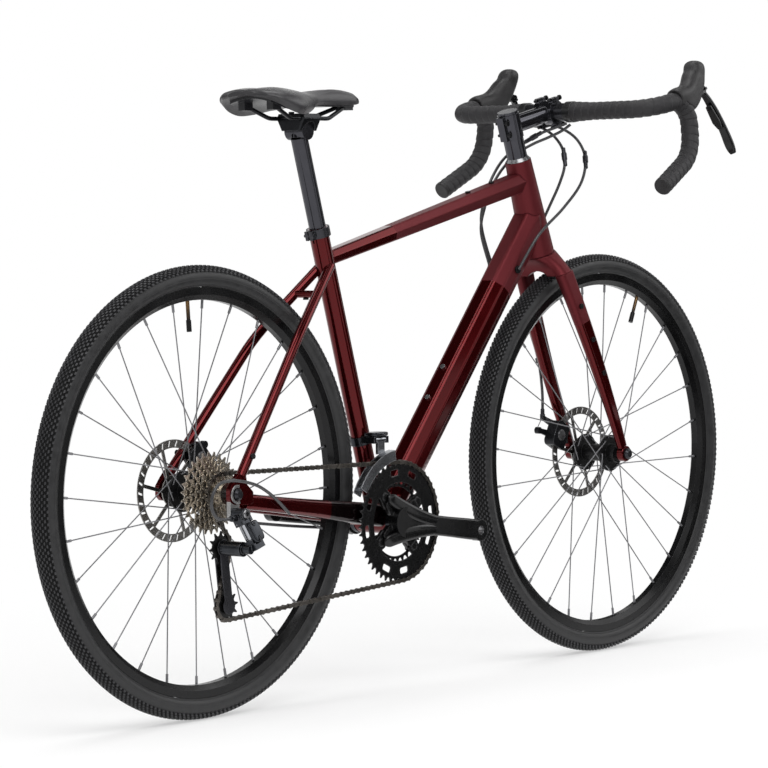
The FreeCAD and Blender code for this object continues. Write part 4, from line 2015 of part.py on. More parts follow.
def front_changer_cage():
    """Cage of two curved plates that straddle the chain, hung from its barrel."""
    ring = pitch_radius(RING_TEETH[0]) + dim.tooth_height
    low = ring + dim.changer_cage_gap
    high = low + dim.changer_cage_height
    bridge = high + dim.changer_neck
    start, tail = 98, 153
    inner_near = -dim.chain_line + dim.changer_inner_gap
    outer_far = -dim.chain_line - dim.changer_outer_gap
    thick = dim.changer_plate
    inner_plate = arc_plate(low - dim.changer_plate, bridge, start, tail, inner_near, inner_near + thick)
    outer_plate = arc_plate(low, bridge, start, tail - 4, outer_far - thick, outer_far)
    roof = arc_plate(bridge - dim.changer_plate * 2, bridge, start, start + 16, outer_far - thick, inner_near + thick)
    at = BRACKET + polar((low + high) / 2, tail - 6)
    stop = rod(at + LEFT * (outer_far - thick), at + LEFT * (inner_near + thick), dim.changer_plate * 2)
    pivot = changer_pivot()
    half = FORWARD * (dim.changer_barrel_length / 2)
    barrel = rod(pivot - half, pivot + half, dim.changer_barrel / 2)
    neck_low = BRACKET + polar(bridge - dim.changer_plate, start + 10)
    width = dim.changer_barrel_length * 0.7
    neck = Part.makeBox(width, dim.changer_neck, pivot.z - neck_low.z,
                        Vector(pivot.x - width / 2, pivot.y - dim.changer_neck, neck_low.z))
    made = inner_plate.fuse([outer_plate, roof, stop, barrel, neck])
    made = made.cut(rod(pivot - half * 2, pivot + half * 2, dim.changer_pin / 2 + dim.pin_gap))
    feature("front_derailleur_cage", biggest(made.removeSplitter()))


# Rear derailleur
SLOPE = math.radians(dim.shift_slope)
SHIFT_DIR = Vector(0, math.cos(SLOPE), -math.sin(SLOPE))
LEAN_OF_LINKS = math.radians(dim.rear_link_lean)
LINK_DIR = Vector(math.sin(LEAN_OF_LINKS), -math.cos(LEAN_OF_LINKS) * math.sin(SLOPE),
                  -math.cos(LEAN_OF_LINKS) * math.cos(SLOPE))
LINK_AXIS = LINK_DIR.cross(SHIFT_DIR)


def knuckle_level():
    """How far right the upper knuckle's block lies."""
    return dim.rear_spacing / 2 + dim.dropout_thickness + dim.link_offset + dim.link_thickness


def upper_pivot(sign):
    """Upper pivot of the inner (1) or outer (-1) link."""
    root = hanger_bolt() - LEFT * knuckle_level() + LINK_DIR * dim.knuckle_depth
    return root + SHIFT_DIR * (sign * dim.link_offset)


def oriented_box(centre, across_size, axis_size, length, start):
    """Box along the links: sizes across the shift, along the pivots and down the links."""
    place = frame_at(centre + LINK_DIR * start, LINK_DIR, SHIFT_DIR)
    made = Part.makeBox(across_size, axis_size, length)
    made.Placement = Placement(place.multVec(Vector(-across_size / 2, -axis_size / 2, 0)), place.Rotation)
    return made


def link_eye(pivot, radius, half):
    return rod(pivot - LINK_AXIS * half, pivot + LINK_AXIS * half, radius)


def rear_link(label, sign):
    """One parallelogram link with its upper hinge pin."""
    pivot = upper_pivot(sign)
    half = dim.link_width / 2
    bar = oriented_box(pivot, dim.link_thickness, dim.link_width, dim.link_length, 0)
    eyes = [link_eye(pivot, dim.link_thickness / 2, half),
            link_eye(pivot + LINK_DIR * dim.link_length, dim.link_thickness / 2, half)]
    hinge = link_eye(pivot, dim.link_pin / 2, half + dim.knuckle_ear)
    feature(label, biggest(bar.fuse(eyes + [hinge]).removeSplitter()))


def knuckle_ears(centre, start, length):
    """Two cheeks that flank the links."""
    span = 2 * dim.link_offset + dim.link_thickness + dim.running_gap * 4
    level = dim.link_width / 2 + dim.running_gap + dim.knuckle_ear / 2
    return [oriented_box(centre + LINK_AXIS * (side * level), span, dim.knuckle_ear, length, start)
            for side in (-1, 1)]


def rear_changer_bracket():
    """Upper knuckle on the hanger bolt, with the cheeks that hold both links."""
    middle = hanger_bolt()
    level = knuckle_level()
    centre = middle - LEFT * level
    span = 2 * dim.link_offset + dim.link_thickness + dim.running_gap * 4
    width = dim.link_width + 2 * (dim.running_gap + dim.knuckle_ear)
    room = dim.link_thickness / 2 + dim.running_gap
    block = oriented_box(centre, span, width, dim.knuckle_depth - room, 0)
    cheeks = knuckle_ears(centre, dim.knuckle_depth - room, room + dim.link_thickness)
    hanger_face = dim.rear_spacing / 2 + dim.dropout_thickness
    radius = dim.rear_bolt_diameter / 2
    drum = rod(middle - LEFT * hanger_face, middle - LEFT * (level + span / 2), radius)
    cap = rod(middle - LEFT * (level + span / 2), middle - LEFT * (level + span / 2 + dim.rear_bolt_head), radius)
    stub = rod(middle - LEFT * (dim.rear_spacing / 2), middle - LEFT * hanger_face, dim.bolt_shank_diameter)
    stop_root = centre + LINK_DIR * (dim.knuckle_depth / 2)
    stop = rod(stop_root, cable_stop(), dim.clip_diameter / 2)
    made = block.fuse(cheeks + [drum, cap, stub, stop])
    for sign in (-1, 1):
        half = dim.link_width / 2 + dim.knuckle_ear + dim.running_gap
        made = made.cut(link_eye(upper_pivot(sign), dim.link_pin / 2 + dim.pin_gap, half))
    feature("rear_derailleur_bracket", biggest(made.removeSplitter()))


def cable_stop():
    """End of the shift housing, behind the rear derailleur."""
    root = hanger_bolt() - LEFT * knuckle_level() + LINK_DIR * (dim.knuckle_depth / 2)
    return root - FORWARD * dim.knuckle_barrel


def cage_levels():
    """Inner faces of the cage's plates, as distances to the left."""
    return -dim.chain_line - dim.cage_half_inner, -dim.chain_line + dim.cage_half_inner


def rear_changer_knuckle():
    """Lower knuckle: cheeks that follow the links, and the spring barrel that the cage turns on."""
    low = hanger_bolt() - LEFT * knuckle_level() + LINK_DIR * (dim.knuckle_depth + dim.link_length)
    room = dim.link_thickness / 2 + dim.knuckle_gap
    span = 2 * dim.link_offset + dim.link_thickness + dim.running_gap * 4
    width = dim.link_width + 2 * (dim.running_gap + dim.knuckle_ear)
    cheeks = knuckle_ears(low, -dim.link_thickness, dim.link_thickness + room)
    block = oriented_box(low, span, width, dim.knuckle_depth * 0.6, room)
    guide = guide_centre()
    near = cage_levels()[0] - dim.cage_plate - dim.running_gap
    inner_side = low.y + span / 2 + dim.running_gap * 4
    barrel = rod(guide + LEFT * near, guide + LEFT * inner_side, dim.knuckle_barrel / 2)
    neck = rod(guide + LEFT * inner_side, guide + LEFT * (low.y - span / 4), dim.knuckle_neck / 2)
    made = block.fuse(cheeks + [barrel, neck]).removeSplitter()
    pin_hole = rod(guide + LEFT * near, guide + LEFT * (near - dim.knuckle_barrel), dim.pulley_bore / 2 + dim.pin_gap)
    feature("rear_derailleur_knuckle", biggest(made.cut(pin_hole)))


def rear_changer_cage():
    """Two cage plates, the pulley axles and the stub that turns in the lower knuckle."""
    right, left = cage_levels()
    guide, tension = guide_centre(), tension_centre(CAGE_LEAN)
    run = tension - guide
    run.normalize()
    side = run.cross(LEFT) * (dim.cage_width / 2)
    ends = run * (dim.cage_width / 2)
    corners = [guide - ends - side, tension + ends - side, tension + ends + side, guide - ends + side]
    solids = [plate(corners, right - dim.cage_plate, right, dim.cage_width * 0.45),
              plate(corners, left, left + dim.cage_plate, dim.cage_width * 0.45)]
    for point in (guide, tension):
        solids.append(rod(point + LEFT * (right - dim.cage_plate), point + LEFT * (left + dim.cage_plate),
                          dim.pulley_bore / 2))
        for near in (right - dim.cage_plate, left):
            far = near + dim.cage_plate
            solids.append(rod(point + LEFT * near, point + LEFT * far, dim.cage_end_diameter / 2))
    stub_end = right - dim.cage_plate - dim.knuckle_barrel / 2
    solids.append(rod(guide + LEFT * right, guide + LEFT * stub_end, dim.pulley_bore / 2))
    made = solids[0].fuse(solids[1:]).removeSplitter()
    feature("rear_derailleur_cage", biggest(made))


def pulley(label, centre, phase):
    half = dim.tooth_thickness / 2
    near, far = -dim.chain_line - half, -dim.chain_line + half
    bore = dim.pulley_bore / 2 + dim.pin_gap
    wheel = toothed(centre, PULLEY_TEETH, phase, near, far, bore)
    side = dim.cage_half_inner - dim.running_gap
    core = sleeve(centre - LEFT * (dim.chain_line + side), centre - LEFT * (dim.chain_line - side),
                  dim.pulley_bore, bore)
    feature(label, biggest(wheel.fuse(core).removeSplitter()))


def derailleurs():
    front_changer_clamp()
    front_changer_cage()
    rear_changer_bracket()
    rear_link("rear_derailleur_outer_link", -1)
    rear_link("rear_derailleur_inner_link", 1)
    rear_changer_knuckle()
    rear_changer_cage()
    pulley("guide_pulley", guide_centre(), PHASES[3])
    pulley("tension_pulley", tension_centre(CAGE_LEAN), PHASES[2])


# Cables
def route(*points):
    return [Vector(*point) for point in points]


def steering_housings():
    """Three housings from the bar to the down tube: front shift, rear shift and rear brake."""
    ports = port_points()
    out = dim.port_height
    ends = {name: point + LEFT * (out if point.y > 0 else -out) for name, point in ports.items()}
    routes = {
        "front_shift": route((393, 44, 929), (408, 30, 930), (423, 4, 922), (431, -24, 901), (429, -42, 868),
                             (405, -50, 826), (355, -49, 783), (292, -44, 738)),
        "rear_shift": route((373, -44, 929), (367, -24, 922), (357, 2, 912), (342, 25, 896), (312, 44, 871),
                            (286, 51, 838), (262, 51, 797), (250, 47, 752)),
        "rear_brake": route((384, -44, 927), (379, -28, 916), (366, -8, 905), (351, 11, 895), (332, 27, 881),
                            (303, 38, 856), (276, 43, 824), (254, 43, 786), (242, 42, 744)),
    }
    return {name: cable(name, points + [ends[name]]) for name, points in routes.items()}


def steering_cables():
    feature("steering_cables", *steering_housings().values())


def blade_clip(points):
    """Clip that holds the front brake housing to the outside of the left blade."""
    level = blade_stations()[0][0].z - dim.clip_drop
    low = next(index for index, point in enumerate(points) if point.z < level)
    share = (points[low - 1].z - level) / (points[low - 1].z - points[low].z)
    middle = points[low - 1] + (points[low] - points[low - 1]) * share
    run = points[low] - points[low - 1]
    run.normalize()
    half = run * (dim.clip_length / 2)
    collar = rod(middle - half, middle + half, dim.clip_diameter / 2)
    foot = rod(Vector(middle.x, dim.blade_mid_spread, middle.z), middle, dim.clip_diameter / 2)
    made = collar.fuse(foot).cut(mirrored(bare_blade()))
    return biggest(made.cut(rod(middle - half * 3, middle + half * 3, dim.housing_diameter / 2)))


def front_brake_cable():
    """Housing from the bar, past the front of the head tube, down the left blade to the caliper."""
    points = route((384, 44, 927), (396, 32, 926), (405, 10, 912), (408, -10, 888), (402, -19, 856),
                   (392, -12, 822), (390, 8, 786), (395, 34, 748), (398, 54, 708), (398, 64, 662), (402, 70, 614),
                   (415, 71.5, 565), (431, 71.5, 534), (443, 71.5, 497), (448, 71, 454), (446, 70, 423))
    feature("front_brake_cable", cable("front_brake", points), blade_clip(points))


def rear_cables():
    """Rear brake housing under the left chainstay, and the shift housing's loop at the rear."""
    shift_end = cable_stop()
    loop = route((-386, -71, 312), (-412, -77, 329), (-444, -82, 349), (-480, -89, 364), (-514, -93.5, 371.5),
                 (-540, -95.5, 375.4), (-564, -96, 374.4), (-575.2, -96, 369.8), (-583.7, -95.8, 361.3),
                 (-588.3, -95.3, 350.2), (-588.3, -94.6, 339.1), (-584, -93.8, 328.8), (-576.2, -92.9, 321),
                 (-566, -92, 316.7))
    tail = shift_end - FORWARD * dim.loop_tail
    brake = route((-170, 36, 268), (-220, 41, 273), (-272, 47, 279), (-324, 52, 286), (-372, 62, 293),
                  (-410, 72, 305), (-434, 78, 330), (-440, 78, 364))
    feature("rear_cables", cable("rear_shift_loop", loop + [tail]),
            cable("rear_brake_run", brake))


def main():
    head_tube()
    frame_bearings()
    top_tube()
    down_tube()
    seat_tube()
    seat_clamp()
    bottom_bracket_shell()
    rear_dropouts()
    rear_stays()
    frame_fittings()
    axle("rear_axle", REAR_AXLE, dim.rear_spacing, dim.rear_spacing / 2 + dim.dropout_thickness)
    fork_crown()
    fork_blades()
    axle("front_axle", FRONT_AXLE, dim.fork_spacing, dim.fork_spacing / 2 + dim.fork_tip_thickness)
    headset_spacers()
    stem()
    fork_bolts()
    bar = bar_solid()
    feature("handlebar", bar)
    bar_tape(bar)
    brake_hoods(bar)
    levers()
    seatpost()
    rail_clamp()
    saddle_rails()
    saddle_base()
    saddle_cover()
    wheels()
    brakes()
    crank_arms()
    chainrings()
    cassette()
    chain()
    derailleurs()
    steering_cables()
    front_brake_cable()
    rear_cables()
    doc.recompute()
    write_parts()


def write_parts():
    """Checks every object and writes each sub-part's solids."""
    for obj in doc.Objects:
        if "Invalid" in obj.State or "Error" in obj.State:
            raise ValueError("%s failed: %s" % (obj.Name, obj.State))
    for obj in PARTS:
        if obj.Shape.isNull() or not obj.Shape.isValid():
            raise ValueError("%s has no valid shape" % obj.Label)
    os.makedirs("parts", exist_ok=True)
    for obj in PARTS:
        obj.Shape.exportStep(os.path.join("parts", obj.Label + ".step"))
    print("%d sub-parts, %d links in the chain, cage leaning %.1f degrees" % (len(PARTS), LINKS, CAGE_LEAN))


main()
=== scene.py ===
import math

import bmesh
import bpy
from mathutils import Matrix, Vector

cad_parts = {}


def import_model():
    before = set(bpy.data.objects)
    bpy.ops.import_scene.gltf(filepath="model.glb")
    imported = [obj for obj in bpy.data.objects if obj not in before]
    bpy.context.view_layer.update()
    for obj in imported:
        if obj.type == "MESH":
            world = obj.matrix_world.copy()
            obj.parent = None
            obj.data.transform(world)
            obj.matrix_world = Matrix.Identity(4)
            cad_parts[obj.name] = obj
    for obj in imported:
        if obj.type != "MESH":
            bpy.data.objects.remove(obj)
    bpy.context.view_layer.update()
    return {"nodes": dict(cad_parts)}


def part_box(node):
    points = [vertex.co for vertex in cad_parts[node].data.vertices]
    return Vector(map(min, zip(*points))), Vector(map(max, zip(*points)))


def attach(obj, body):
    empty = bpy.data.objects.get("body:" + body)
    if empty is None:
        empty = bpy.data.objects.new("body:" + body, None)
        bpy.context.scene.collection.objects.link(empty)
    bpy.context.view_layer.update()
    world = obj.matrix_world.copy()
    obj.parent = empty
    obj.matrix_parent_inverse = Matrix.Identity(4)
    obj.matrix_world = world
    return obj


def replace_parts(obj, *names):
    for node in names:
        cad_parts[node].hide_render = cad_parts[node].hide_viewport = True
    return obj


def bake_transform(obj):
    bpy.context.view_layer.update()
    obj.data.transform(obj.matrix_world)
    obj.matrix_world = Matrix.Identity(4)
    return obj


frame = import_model()
NODES = frame["nodes"]

# Directions and places that several pieces share, in metres
LEFT = Vector((0, 1, 0))
UP = Vector((0, 0, 1))
FRONT_AXLE = Vector((0.514, 0, 0.351))
REAR_AXLE = Vector((-0.514, 0, 0.351))
BRACKET = Vector((-0.09059, 0, 0.276))
STEER_TOP = Vector((0.2924, 0, 0.866))
STEER_RUN = Vector((-0.3173, 0, 0.9483))
CRANK_ANGLE = math.radians(-8.5)
CRANK_RUN = Vector((math.cos(CRANK_ANGLE), 0, math.sin(CRANK_ANGLE)))
CRANK_LENGTH = 0.175


def placed(name, data):
    """New object with its data, in the scene."""
    obj = bpy.data.objects.new(name, data)
    bpy.context.scene.collection.objects.link(obj)
    return obj


# Materials
class Tree:
    """A material's nodes, added and joined in short calls."""

    def __init__(self, name):
        self.material = bpy.data.materials.new(name)
        self.material.use_nodes = True
        self.nodes = self.material.node_tree.nodes
        self.links = self.material.node_tree.links
        self.shader = self.nodes["Principled BSDF"]
        self.place = self.add("ShaderNodeTexCoord").outputs["Object"]

    def add(self, kind, **values):
        node = self.nodes.new(kind)
        for key, value in values.items():
            setattr(node, key, value)
        return node

    def join(self, source, target):
        self.links.new(source, target)

    def noise(self, scale, detail=4.0, rough=0.55, stretch=None):
        node = self.add("ShaderNodeTexNoise")
        node.inputs["Scale"].default_value = scale
        node.inputs["Detail"].default_value = detail
        node.inputs["Roughness"].default_value = rough
        place = self.place
        if stretch:
            mapping = self.add("ShaderNodeMapping")
            mapping.inputs["Scale"].default_value = stretch
            self.join(self.place, mapping.inputs["Vector"])
            place = mapping.outputs["Vector"]
        self.join(place, node.inputs["Vector"])
        return node.outputs["Fac"]

    def spread(self, value, low, high, to_low=0.0, to_high=1.0):
        node = self.add("ShaderNodeMapRange")
        for key, number in zip(("From Min", "From Max", "To Min", "To Max"), (low, high, to_low, to_high)):
            node.inputs[key].default_value = number
        self.join(value, node.inputs["Value"])
        return node.outputs["Result"]

    def math(self, operation, first, second):
        node = self.add("ShaderNodeMath", operation=operation)
        for index, value in enumerate((first, second)):
            if isinstance(value, (int, float)):
                node.inputs[index].default_value = value
            else:
                self.join(value, node.inputs[index])
        return node.outputs["Value"]

    def mix(self, factor, first, second):
        node = self.add("ShaderNodeMix", data_type="RGBA")
        sockets = node.inputs["Factor"], node.inputs[6], node.inputs[7]
        for socket, value in zip(sockets, (factor, first, second)):
            if isinstance(value, (int, float)):
                socket.default_value = value
            elif isinstance(value, tuple):
                socket.default_value = (*value, 1.0)
            else:
                self.join(value, socket)
        return node.outputs[2]

    def side_of(self, point, normal, soft=0.0006):
        """0 before a plane and 1 beyond it, in the part's own frame."""
        node = self.add("ShaderNodeVectorMath", operation="DOT_PRODUCT")
        self.join(self.place, node.inputs[0])
        normal = Vector(normal).normalized()
        node.inputs[1].default_value = normal
        level = Vector(point).dot(normal)
        return self.spread(node.outputs["Value"], level - soft, level + soft)

    def edges(self, radius):
        """Rounded normals at a part's edges, and a mask of those edges."""
        bevel = self.add("ShaderNodeBevel", samples=6)
        bevel.inputs["Radius"].default_value = radius
        plain = self.add("ShaderNodeNewGeometry")
        dot = self.add("ShaderNodeVectorMath", operation="DOT_PRODUCT")
        self.join(bevel.outputs["Normal"], dot.inputs[0])
        self.join(plain.outputs["Normal"], dot.inputs[1])
        return bevel.outputs["Normal"], self.spread(dot.outputs["Value"], 0.99, 0.86)

    def bump(self, height, strength, distance, normal=None):
        node = self.add("ShaderNodeBump")
        node.inputs["Strength"].default_value = strength
        node.inputs["Distance"].default_value = distance
        self.join(height, node.inputs["Height"])
        if normal:
            self.join(normal, node.inputs["Normal"])
        self.join(node.outputs["Normal"], self.shader.inputs["Normal"])

    def set(self, **values):
        for key, value in values.items():
            socket = self.shader.inputs[key.replace("_", " ")]
            if isinstance(value, tuple):
                socket.default_value = (*value, 1.0)
            elif isinstance(value, (int, float)):
                socket.default_value = value
            else:
                self.join(value, socket)


def srgb(red, green, blue):
    """Linear colour of an sRGB triple of 0 to 255."""
    made = []
    for part in (red, green, blue):
        share = part / 255
        made.append(share / 12.92 if share <= 0.04045 else ((share + 0.055) / 1.055) ** 2.4)
    return tuple(made)


def shade(colour, share):
    """Colour made darker or lighter."""
    return tuple(min(1.0, part * share) for part in colour)


def surface(name, colour, rough, metal=0.0, grain=900.0, spread=0.08, tone=0.25, relief=0.08, edge=None,
            radius=0.0007, stretch=None, coat=0.0):
    """Grained surface with uneven tone and roughness and rounded edges, lighter towards an edge colour where
    one is given: partly rubbed bare and partly a painted highlight.
    """
    tree = Tree(name)
    fine = tree.noise(grain, stretch=stretch)
    broad = tree.noise(grain / 25, detail=3.0)
    base = tree.mix(tree.spread(broad, 0.3, 0.7), shade(colour, 1 - tone), shade(colour, 1 + tone))
    base = tree.mix(tree.math("MULTIPLY", tree.spread(fine, 0.45, 0.8), tone), base, shade(colour, 1.5))
    normal, mask = tree.edges(radius)
    if edge:
        # Edges lighten towards the edge colour, broken up by noise: partly rubbed bare, partly a painted edge
        # highlight.
        rubbed_and_lit_edge = tree.math("MULTIPLY", mask, tree.spread(tree.noise(grain / 6), 0.35, 0.65))
        base = tree.mix(tree.math("MULTIPLY", rubbed_and_lit_edge, 0.6), base, edge)
    blend = tree.math("ADD", tree.math("MULTIPLY", fine, 0.5), tree.math("MULTIPLY", broad, 0.5))
    roughness = tree.spread(blend, 0.3, 0.7, max(0.02, rough - spread), min(1.0, rough + spread))
    tree.set(Base_Color=base, Roughness=roughness, Metallic=metal)
    if coat:
        tree.set(Coat_Weight=coat, Coat_Roughness=0.06)
    tree.bump(fine, relief, 0.0002, normal)
    return tree.material


MATTE_RED = srgb(97, 34, 39)
MATTE_METAL = 0.6
GLOSS_RED = srgb(90, 11, 15)
GLOSS_METAL = 0.84
GLOSS_COAT = 0.3
FILM = srgb(24, 9, 11)


def paint(name, split, film=(), radius=0.003):
    """Dark red paint: silky, gloss with flake, or parted by a plane; film planes bound a dark film on it."""
    tree = Tree(name)
    flake = tree.noise(6000.0, detail=2.0)
    broad = tree.noise(14.0, detail=3.0)
    matte = tree.mix(tree.spread(broad, 0.3, 0.7), shade(MATTE_RED, 0.92), shade(MATTE_RED, 1.08))
    gloss = tree.mix(tree.spread(flake, 0.5, 0.75), shade(GLOSS_RED, 0.85), shade(GLOSS_RED, 1.3))
    normal, mask = tree.edges(radius)
    # Edges blend to a paler red, broken up by noise: a painted edge highlight.
    edge_highlight = tree.math("MULTIPLY", mask, tree.spread(tree.noise(160.0), 0.5, 0.75, 0.0, 0.12))
    rough_matte = tree.spread(tree.noise(700.0), 0.3, 0.7, 0.36, 0.46)
    rough_gloss = tree.spread(broad, 0.3, 0.7, 0.1, 0.16)
    if split == "matte":
        base, rough = matte, rough_matte
        metal, coat = MATTE_METAL, 0.0
    elif split == "gloss":
        base, rough = gloss, rough_gloss
        metal, coat = GLOSS_METAL, GLOSS_COAT
    else:
        side = tree.side_of(*split)
        base = tree.mix(side, matte, gloss)
        rough = tree.mix(side, rough_matte, rough_gloss)
        metal = tree.spread(side, 0, 1, MATTE_METAL, GLOSS_METAL)
        coat = tree.spread(side, 0, 1, 0.0, GLOSS_COAT)
    if film:
        cover = tree.side_of(*film[0])
        for plane in film[1:]:
            cover = tree.math("MULTIPLY", cover, tree.side_of(*plane))
        base = tree.mix(cover, base, FILM)
    # Paler red at the edges: painted highlight.
    base = tree.mix(edge_highlight, base, shade(MATTE_RED, 1.5))
    tree.set(Base_Color=base, Roughness=rough, Metallic=metal, Specular_IOR_Level=0.2)
    tree.set(Coat_Weight=coat, Coat_Roughness=0.05)
    tree.bump(tree.noise(2500.0, detail=2.0), 0.02, 0.0001, normal)
    return tree.material


def rubber(name, colour, rough):
    """Moulded rubber: fine pores, dusty hollows and a faint bloom."""
    tree = Tree(name)
    fine = tree.noise(1800.0)
    dust = tree.noise(60.0, detail=6.0)
    base = tree.mix(tree.spread(dust, 0.35, 0.75), shade(colour, 0.8), shade(colour, 1.25))
    base = tree.mix(tree.spread(fine, 0.6, 0.8, 0.0, 0.3), base, shade(colour, 1.8))
    tree.set(Base_Color=base, Roughness=tree.spread(dust, 0.3, 0.7, rough - 0.08, rough + 0.1))
    tree.set(Specular_IOR_Level=0.35)
    tree.bump(fine, 0.25, 0.0003)
    return tree.material


def skin(name, colour, rough, pores, relief):
    """Covering with a leather-like pebble."""
    tree = Tree(name)
    cells = tree.add("ShaderNodeTexVoronoi", feature="DISTANCE_TO_EDGE")
    cells.inputs["Scale"].default_value = pores
    tree.join(tree.place, cells.inputs["Vector"])
    pebble = tree.spread(cells.outputs["Distance"], 0.0, 0.25)
    broad = tree.noise(35.0, detail=5.0)
    base = tree.mix(tree.spread(broad, 0.3, 0.7), shade(colour, 0.85), shade(colour, 1.15))
    # The cracks between the pebbles are darkened: painted shade.
    base = tree.mix(tree.spread(pebble, 0.0, 0.4, 0.5, 0.0), base, shade(colour, 0.5))
    tree.set(Base_Color=base, Roughness=tree.spread(broad, 0.3, 0.7, rough - 0.06, rough + 0.08))
    tree.set(Specular_IOR_Level=0.4)
    tree.bump(pebble, relief, 0.0003)
    return tree.material


def brushed(name, colour, rough, stretch, edge):
    """Bare metal with a grain drawn out in one direction."""
    return surface(name, colour, rough, metal=1.0, grain=260.0, spread=0.1, tone=0.18, relief=0.12, edge=edge,
                   stretch=stretch)


# Planes as a point and a normal: where silky paint turns to gloss, and round the film on the right stay
TOP_SPLIT = ((-0.051, 0, 0.745), (-0.93, 0, -0.37))
DOWN_SPLIT = ((0.225, 0, 0.645), (-0.62, 0, -0.78))
BLADE_SPLIT = ((0.415, 0, 0.59), (0.35, 0, -0.94))
STAY_FILM = [((-0.3, 0, 0), (1, 0, -0.12)), ((0, -0.002, 0), (0, -1, 0)), ((0, 0, 0.37), (0, 0, -1))]

MATERIALS = {
    "matte": paint("paint_matte", "matte"),
    "gloss": paint("paint_gloss", "gloss", radius=0.001),
    "top": paint("paint_top_tube", TOP_SPLIT),
    "down": paint("paint_down_tube", DOWN_SPLIT),
    "blades": paint("paint_blades", BLADE_SPLIT),
    "stays": paint("paint_stays", "gloss", STAY_FILM, 0.001),
    "alloy": surface("black_alloy", srgb(17, 17, 18), 0.38, metal=0.3, grain=1400.0, edge=srgb(92, 92, 96)),
    "satin": surface("satin_alloy", srgb(62, 62, 66), 0.28, metal=0.9, radius=0.0012, spread=0.03,
                     tone=0.08, grain=1600.0, edge=srgb(96, 96, 100)),
    "post": surface("post_alloy", srgb(70, 70, 75), 0.15, metal=0.9, spread=0.03, tone=0.06, grain=1600.0,
                    edge=srgb(96, 96, 100)),
    "crank": surface("crank_alloy", srgb(14, 14, 15), 0.26, metal=0.3, radius=0.0025, coat=0.2, spread=0.03,
                     grain=1600.0, edge=srgb(60, 60, 63)),
    "rim": surface("rim_alloy", srgb(19, 19, 20), 0.24, metal=0.5, grain=700.0, edge=srgb(110, 110, 112)),
    "changer": surface("changer_alloy", srgb(138, 140, 144), 0.2, metal=0.95, grain=1100.0,
                       edge=srgb(200, 200, 204), radius=0.0014),
    "grey": surface("grey_alloy", srgb(56, 58, 62), 0.22, metal=0.9, grain=1100.0, edge=srgb(150, 150, 154),
                    radius=0.0014),
    "dark_grey": surface("dark_grey_alloy", srgb(31, 32, 35), 0.27, metal=0.7, grain=1100.0,
                         edge=srgb(128, 130, 134), radius=0.0014),
    "steel": brushed("steel", srgb(168, 168, 168), 0.3, (1.0, 1.0, 6.0), edge=srgb(215, 215, 215)),
    "rotor": brushed("rotor_steel", srgb(146, 144, 141), 0.34, (1.0, 0.3, 4.0), edge=srgb(200, 198, 195)),
    "chain": surface("chain_steel", srgb(92, 88, 84), 0.34, metal=0.95, grain=900.0, tone=0.35,
                     edge=srgb(176, 168, 156), radius=0.0004),
    "cassette": surface("cassette_steel", srgb(186, 178, 166), 0.26, metal=0.95, grain=420.0, tone=0.3,
                        edge=srgb(190, 180, 165), radius=0.0004),
    "spoke": surface("spoke_steel", srgb(126, 126, 129), 0.34, metal=0.6, grain=260.0, tone=0.18),
    "bolt": surface("bolt_steel", srgb(150, 150, 152), 0.28, metal=1.0, grain=1500.0,
                    edge=srgb(220, 220, 220)),
    "black_bolt": surface("bolt_black", srgb(24, 24, 26), 0.34, metal=0.6, grain=1500.0,
                          edge=srgb(110, 110, 112)),
    "brass": surface("brass", srgb(128, 100, 68), 0.3, metal=1.0, grain=1500.0, edge=srgb(220, 190, 140)),
    "tyre": rubber("tyre", srgb(43, 43, 44), 0.42),
    # Near-black rubber: painted shade in the gaps between tread blocks and on the right crank's hub
    "painted_shade": rubber("tyre_painted_shade", srgb(10, 10, 11), 0.8),
    "tread": rubber("tyre_tread", srgb(54, 54, 56), 0.42),
    "tape": skin("tape", srgb(43, 42, 44), 0.55, 900.0, 0.25),
    "band": surface("tape_band", srgb(20, 20, 21), 0.3, grain=500.0),
    "hood": rubber("hood", srgb(42, 41, 42), 0.45),
    "housing": surface("housing", srgb(62, 62, 64), 0.22, grain=1800.0, tone=0.15),
    "saddle": skin("saddle_skin", srgb(56, 55, 57), 0.3, 1500.0, 0.12),
    "shell": surface("saddle_shell", srgb(30, 30, 33), 0.3, grain=1500.0, edge=srgb(90, 90, 92)),
    "gloss_black": surface("gloss_black", srgb(12, 12, 14), 0.14, metal=0.2, grain=1500.0, spread=0.05,
                           edge=srgb(110, 110, 114)),
}

